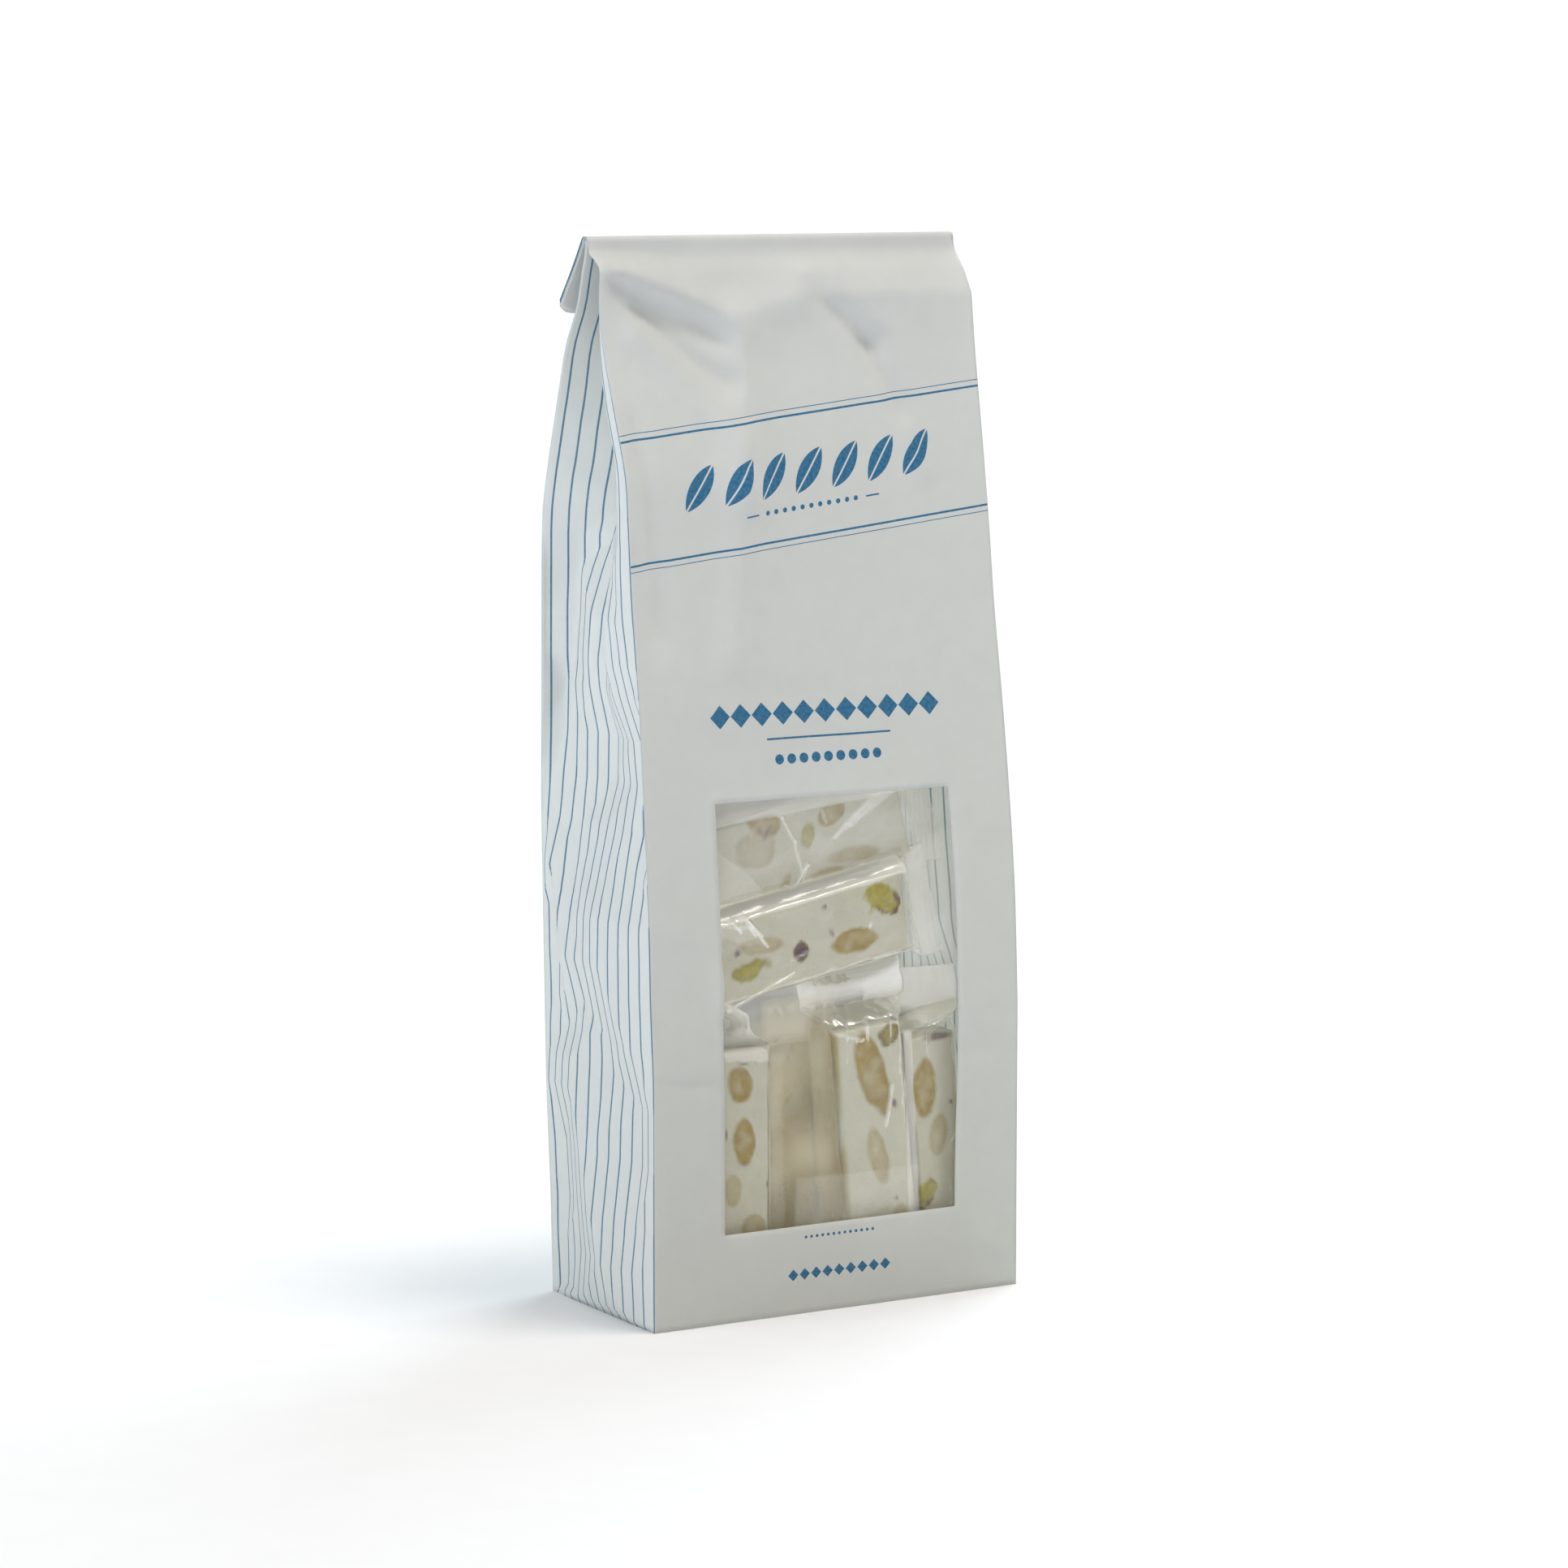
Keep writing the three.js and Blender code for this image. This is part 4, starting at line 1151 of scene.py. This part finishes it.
def wrapper_shell(bar, matrix, settings, fine, rng):
    """The bar's crumpled film: a tube round the nougat, pressed flat past each end."""
    lying = bar["lean"] > 45
    name = bar["name"]
    half_long = settings.length / MM / 2
    slack = settings.wrap / MM
    half_wide = settings.width / MM / 2 + slack
    half_deep = settings.thickness / MM / 2 + slack
    # How far the flattened ends run past the nougat, at its low and its high end.
    fins = (8.5, 9.5) if lying else (min(bar["low"] - 1.8, 8.0), 12.6)
    low_turn = {"bend": 1.5, "turn": rng.uniform(-15, 15), "half": half_wide + 1.2, "haze": 0.6}
    side_turn = {"bend": 3.0, "turn": rng.uniform(-14, 14), "half": 11.4, "haze": 0.5}
    ends = (side_turn if lying else low_turn, FLAPS.get(name, side_turn))
    folds = SHOWN_FOLDS.get(name, [])
    patches = SHOWN_HAZE.get(name, [])
    around, along = (132, 200) if fine else (36, 52)
    seed = Vector((rng.uniform(0, 90), rng.uniform(0, 90), rng.uniform(0, 90)))

    def measures(t):
        z = mix(-half_long - fins[0], half_long + fins[1], t)
        past = abs(z) - half_long - 0.3
        end = 0 if z < 0 else 1
        flat = smooth(0, min(5.0, fins[end] * 0.7), past)
        return z, past, end, flat

    def place(column, row):
        z, past, end, flat = measures(row / along)
        flap = ends[end]
        deep = 0.02 if row in (0, along) else mix(half_deep, 0.14, flat)
        wide = mix(half_wide, flap["half"], flat)
        radius = min(2.0, deep * 0.95)
        x, y, normal = round_the_bar(column / around, wide, deep, radius)
        p = Vector((x / 6.5, y / 6.5, z / 9.0)) + seed
        ridge = 1 - abs(2 * noise.noise(p))
        small = 1 - abs(2 * noise.noise(p * 2.6))
        calm = 1 - 0.7 * smooth(0.1, 0.5, min(abs(normal[0]), abs(normal[1])))
        # Two of the bars have smoother film.
        calm *= 0.6 if name in ("front_mid_right", "front_right") else 1.0
        push = calm * (0.40 * (ridge - 0.72) + 0.14 * (small - 0.62))
        # Near the ends the film is drawn in by creases that run out along the flaps.
        drawn = smooth(-9, 2, past)
        pleat = 1 - abs(2 * noise.noise(Vector((x / 2.6, y / 5.0, z / 17.0)) + seed * 2))
        push = mix(push, 0.42 * (pleat - 0.6), drawn) * (1 - 0.55 * flat)
        if folds and normal[1] < -0.7 or name.endswith("left") and normal[0] < -0.7:
            world = matrix @ Vector((x, y, z))
            for start, finish, rise, reach in folds:
                away = distance_to_line(world.x, world.z, start, finish)
                if away < reach:
                    push += rise * (0.5 + 0.5 * math.cos(math.pi * away / reach))
        x += normal[0] * push
        y += normal[1] * push
        if past > 0:
            sag = 2.4 * (x / flap["half"]) ** 2 if flap["turn"] > 40 else 0.6 * noise.noise(p)
            reach, aside = turned_flap(past, flap["bend"] + sag, flap["turn"])
            z = math.copysign(half_long + 0.3 + reach, z)
            y += aside
            wave = noise.noise(Vector((x / 7, z / 6, 3.0)) + seed)
            y += 0.9 * smooth(1, 9, past) * wave
            y += 0.035 * smooth(fins[end] - 4.0, fins[end] - 3.4, past) * math.sin(6.3 * past)
            x += 0.6 * smooth(2, 9, past) * noise.noise(Vector((z / 4, 1.0, 5.0)) + seed)
            twist = math.radians(flap.get("twist", 0)) * smooth(0, 6, past)
            x, y = (x * math.cos(twist) - y * math.sin(twist), x * math.sin(twist) + y * math.cos(twist))
        return Vector((x, y, z))

    def note(column, row):
        _, past, end, flat = measures(row / along)
        bend = ends[end]["bend"]
        milk_and_painted_light = flat * ends[end]["haze"] * mix(0.42, 1.0, smooth(bend - 2.5, bend, past))
        if patches or folds:
            world = matrix @ place(column, row)
            if world.y < bar["depth"]:
                for corners, haze in patches:
                    milk_and_painted_light += haze if in_outline(world.x, world.z, corners) else 0.0
                for start, finish, rise, reach in folds:
                    # Painted highlight: the film is hazed white along the top of a sharp fold, where a
                    # glint runs.
                    away = distance_to_line(world.x, world.z, start, finish)
                    milk_and_painted_light += 2.0 * rise * max(0.0, 1 - away / (0.6 * reach))
        return (milk_and_painted_light, milk_and_painted_light, milk_and_painted_light)

    bm = grid(around, along, place, "haze_and_painted_light", note)
    bmesh.ops.remove_doubles(bm, verts=bm.verts, dist=0.03)
    bmesh.ops.recalc_face_normals(bm, faces=bm.faces)
    bmesh.ops.transform(bm, matrix=matrix, verts=bm.verts)
    return bm


class NOUGAT_OT_loose_film(bpy.types.Operator):
    """Lay the wrappers' loose flaps and seams in front of the bars, and the hazed veils that paint light
    and shade over the gaps between them
    """
    bl_idname = "nougat.loose_film"
    bl_label = "Loose Film"

    def execute(self, context):
        film = wrapper_film()
        # Film tinted tan, for the veil of painted shade.
        painted_shade_film = clear_film("wrapper_film_tinted_as_painted_shade", 0.01, 0.2, 5.0, 0.3, 0.62,
                             (0.86, 0.78, 0.54, 1.0))
        for index, (name, corners, deep, deep_high, bow, haze, fade) in enumerate(LOOSE_FILM):
            low_left, low_right, high_right, high_left = (Vector(corner) for corner in corners)
            width, height = (low_right - low_left).length, (high_left - low_left).length
            columns = max(8, round(width / MESH_STEPS["across_film"]))
            rows = max(8, round(height / MESH_STEPS["up_film"]))

            def place(column, row):
                across, up = column / columns, row / rows
                x, z = low_left.lerp(low_right, across).lerp(high_left.lerp(high_right, across), up)
                wave = noise.noise(Vector((x / 7, z / 9, 4.0 + index)))
                bend = bow * math.sin(math.pi * across) * up
                x += 0.5 * noise.noise(Vector((z / 6, 2.0, index)))
                z += 0.3 * noise.noise(Vector((x / 6, 6.0, index)))
                return Vector((x, mix(deep, deep_high, up * up) - bend + 0.3 * wave, z))

            def note(column, row):
                aside = min(column, columns - column) / columns * width
                above = min(row, rows - row) / rows * height
                milk_and_painted_light = haze * mix(0.25, 1.0, smooth(0, fade, min(aside, above)))
                # The tan veil of painted shade is made blotchy.
                if name == "painted_shade_veil":
                    milk_and_painted_light *= 1 + 0.8 * noise.noise(Vector((column / 18, row / 16, 7.0)))
                return (milk_and_painted_light, milk_and_painted_light, milk_and_painted_light)

            bm = grid(columns, rows, place, "haze_and_painted_light", note)
            look = painted_shade_film if name == "painted_shade_veil" else film
            finish_piece(bm, f"loose_film_{name}", [look], "window_film")
        return {"FINISHED"}


class NOUGAT_OT_bars(bpy.types.Operator):
    """Make every bar of nougat and the film that it is wrapped in"""
    bl_idname = "nougat.bars"
    bl_label = "Wrapped Bars"

    def execute(self, context):
        settings = context.scene.nougat_bars
        nougat = nougat_material(settings)
        film = wrapper_film()
        for index, bar in enumerate(BARS):
            rng = random.Random(40 + index)
            fine = bar["name"] in SHOWN_NUTS
            matrix = bar_matrix(bar, settings)
            step = MESH_STEPS["shown_nougat" if fine else "hidden_nougat"]
            name = bar["name"]
            block = nougat_block(bar, matrix, settings, step, rng)
            finish_piece(block, f"nougat_{name}", [nougat], "wrapped_nougat", [f"wrapped_bar_{name}"])
            shell = wrapper_shell(bar, matrix, settings, fine, rng)
            finish_piece(shell, f"wrapper_{name}", [film], "window_film")
        return {"FINISHED"}


# ---- The stage ----

# The place that the camera looks at, in millimetres.
CAMERA_TARGET = (-0.281, 0.11, 104.218)


def area_light(name, place, aim, size, power, tint):
    """A square soft light that faces a place."""
    light = bpy.data.lights.new(name, "AREA")
    light.shape = "SQUARE"
    light.size = size
    light.energy = power
    light.color = tint
    holder = bpy.data.objects.new(name, light)
    holder.location = place
    holder.rotation_euler = (Vector(aim) - Vector(place)).to_track_quat("-Z", "Y").to_euler()
    bpy.context.scene.collection.objects.link(holder)


def floor_material(ground):
    """Matt white studio card, which goes over into white air away from the bag."""
    material, tree = new_material("white_studio_card")
    place = add(tree, "TexCoord").outputs["Object"]
    speckle = add(tree, "TexNoise", place, named={"Scale": 90.0, "Detail": 2.0})
    tone = add(tree, "MapRange", speckle.outputs["Fac"], 0.0, 1.0, 0.84, 0.87)
    card = add(tree, "BsdfDiffuse", tone)
    seen = add(tree, "LightPath").outputs["Is Camera Ray"]
    glow = add(tree, "MapRange", seen, 0.0, 1.0, ground, 1.05)
    tint = colour_mix(tree, seen, (0.8, 0.845, 1.0, 1.0), (1.0, 1.0, 1.0, 1.0))
    air = add(tree, "Emission", tint, glow)
    away = add(tree, "VectorMath", place, operation="LENGTH").outputs["Value"]
    fade = add(tree, "MapRange", away, 0.10, 0.75, 0.0, 1.0, interpolation_type="SMOOTHSTEP")
    add(tree, "OutputMaterial", add(tree, "MixShader", fade, card, air))
    return material


class NOUGAT_OT_stage(bpy.types.Operator):
    """Set up the pale floor, the soft studio light and the camera"""
    bl_idname = "nougat.stage"
    bl_label = "Stage"

    def execute(self, context):
        scene = context.scene
        settings = scene.nougat_stage
        bm = bmesh.new()
        bmesh.ops.create_circle(bm, cap_ends=True, segments=96, radius=6.0)
        mesh = bpy.data.meshes.new("studio_floor")
        bm.to_mesh(mesh)
        bm.free()
        mesh.materials.append(floor_material(settings.ground))
        floor = bpy.data.objects.new("studio_floor", mesh)
        scene.collection.objects.link(floor)

        area_light("key_light", (0.16, -0.20, 1.1), (0, 0, 0.12), 0.3, settings.key_power,
                   (1.0, 0.93, 0.9))
        area_light("side_light", (-1.3, 0.0, 0.45), (0, 0, 0.1), 0.8, settings.side_power,
                   (0.75, 0.855, 1.0))
        area_light("back_light", (1.05, 0.6, 0.55), (0, 0, 0.1), 0.9, settings.back_power,
                   (0.76, 0.9, 1.0))

        world = bpy.data.worlds.new("studio_air")
        world.use_nodes = True
        tree = world.node_tree
        tree.nodes.clear()
        seen = add(tree, "LightPath").outputs["Is Camera Ray"]
        strength = add(tree, "MapRange", seen, 0.0, 1.0, settings.sky, 1.05)
        tint = colour_mix(tree, seen, (1.0, 0.985, 0.925, 1.0), (1.0, 1.0, 1.0, 1.0))
        add(tree, "OutputWorld", add(tree, "Background", tint, strength))
        scene.world = world
        scene.view_settings.view_transform = "Standard"

        camera = bpy.data.cameras.new("camera")
        camera.lens = settings.lens
        camera.sensor_width = 36.0
        camera.clip_end = 20.0
        holder = bpy.data.objects.new("camera", camera)
        target = Vector(CAMERA_TARGET) * MM
        back = Vector((
            -math.sin(settings.azimuth) * math.cos(settings.elevation),
            -math.cos(settings.azimuth) * math.cos(settings.elevation),
            math.sin(settings.elevation)))
        holder.location = target + back * settings.distance
        holder.rotation_euler = (-back).to_track_quat("-Z", "Y").to_euler()
        scene.collection.objects.link(holder)
        scene.camera = holder
        return {"FINISHED"}


# ---- The panel, and running as a script ----

class NOUGAT_PT_panel(bpy.types.Panel):
    """Lists the steps that make the bag"""
    bl_idname = "NOUGAT_PT_panel"
    bl_label = "Nougat Bag"
    bl_space_type = "VIEW_3D"
    bl_region_type = "UI"
    bl_category = "Nougat Bag"

    def draw(self, context):
        for group in ("nougat_bag", "nougat_bars", "nougat_stage"):
            settings = getattr(context.scene, group)
            box = self.layout.box()
            for name in settings.__annotations__:
                box.prop(settings, name)
        for step in STEPS:
            self.layout.operator(step.bl_idname)


STEPS = (NOUGAT_OT_stage, NOUGAT_OT_paper_bag, NOUGAT_OT_bag_base, NOUGAT_OT_window_film,
         NOUGAT_OT_bars, NOUGAT_OT_loose_film)
CLASSES = (BagSettings, BarSettings, StageSettings, *STEPS, NOUGAT_PT_panel)


def register():
    for made in CLASSES:
        bpy.utils.register_class(made)
    bpy.types.Scene.nougat_bag = bpy.props.PointerProperty(type=BagSettings)
    bpy.types.Scene.nougat_bars = bpy.props.PointerProperty(type=BarSettings)
    bpy.types.Scene.nougat_stage = bpy.props.PointerProperty(type=StageSettings)


def unregister():
    del bpy.types.Scene.nougat_stage
    del bpy.types.Scene.nougat_bars
    del bpy.types.Scene.nougat_bag
    for made in reversed(CLASSES):
        bpy.utils.unregister_class(made)


def main():
    """Runs every step in order."""
    register()
    bpy.ops.nougat.stage()
    bpy.ops.nougat.paper_bag()
    bpy.ops.nougat.bag_base()
    bpy.ops.nougat.window_film()
    bpy.ops.nougat.bars()
    bpy.ops.nougat.loose_film()


if __name__ == "__main__":
    main()
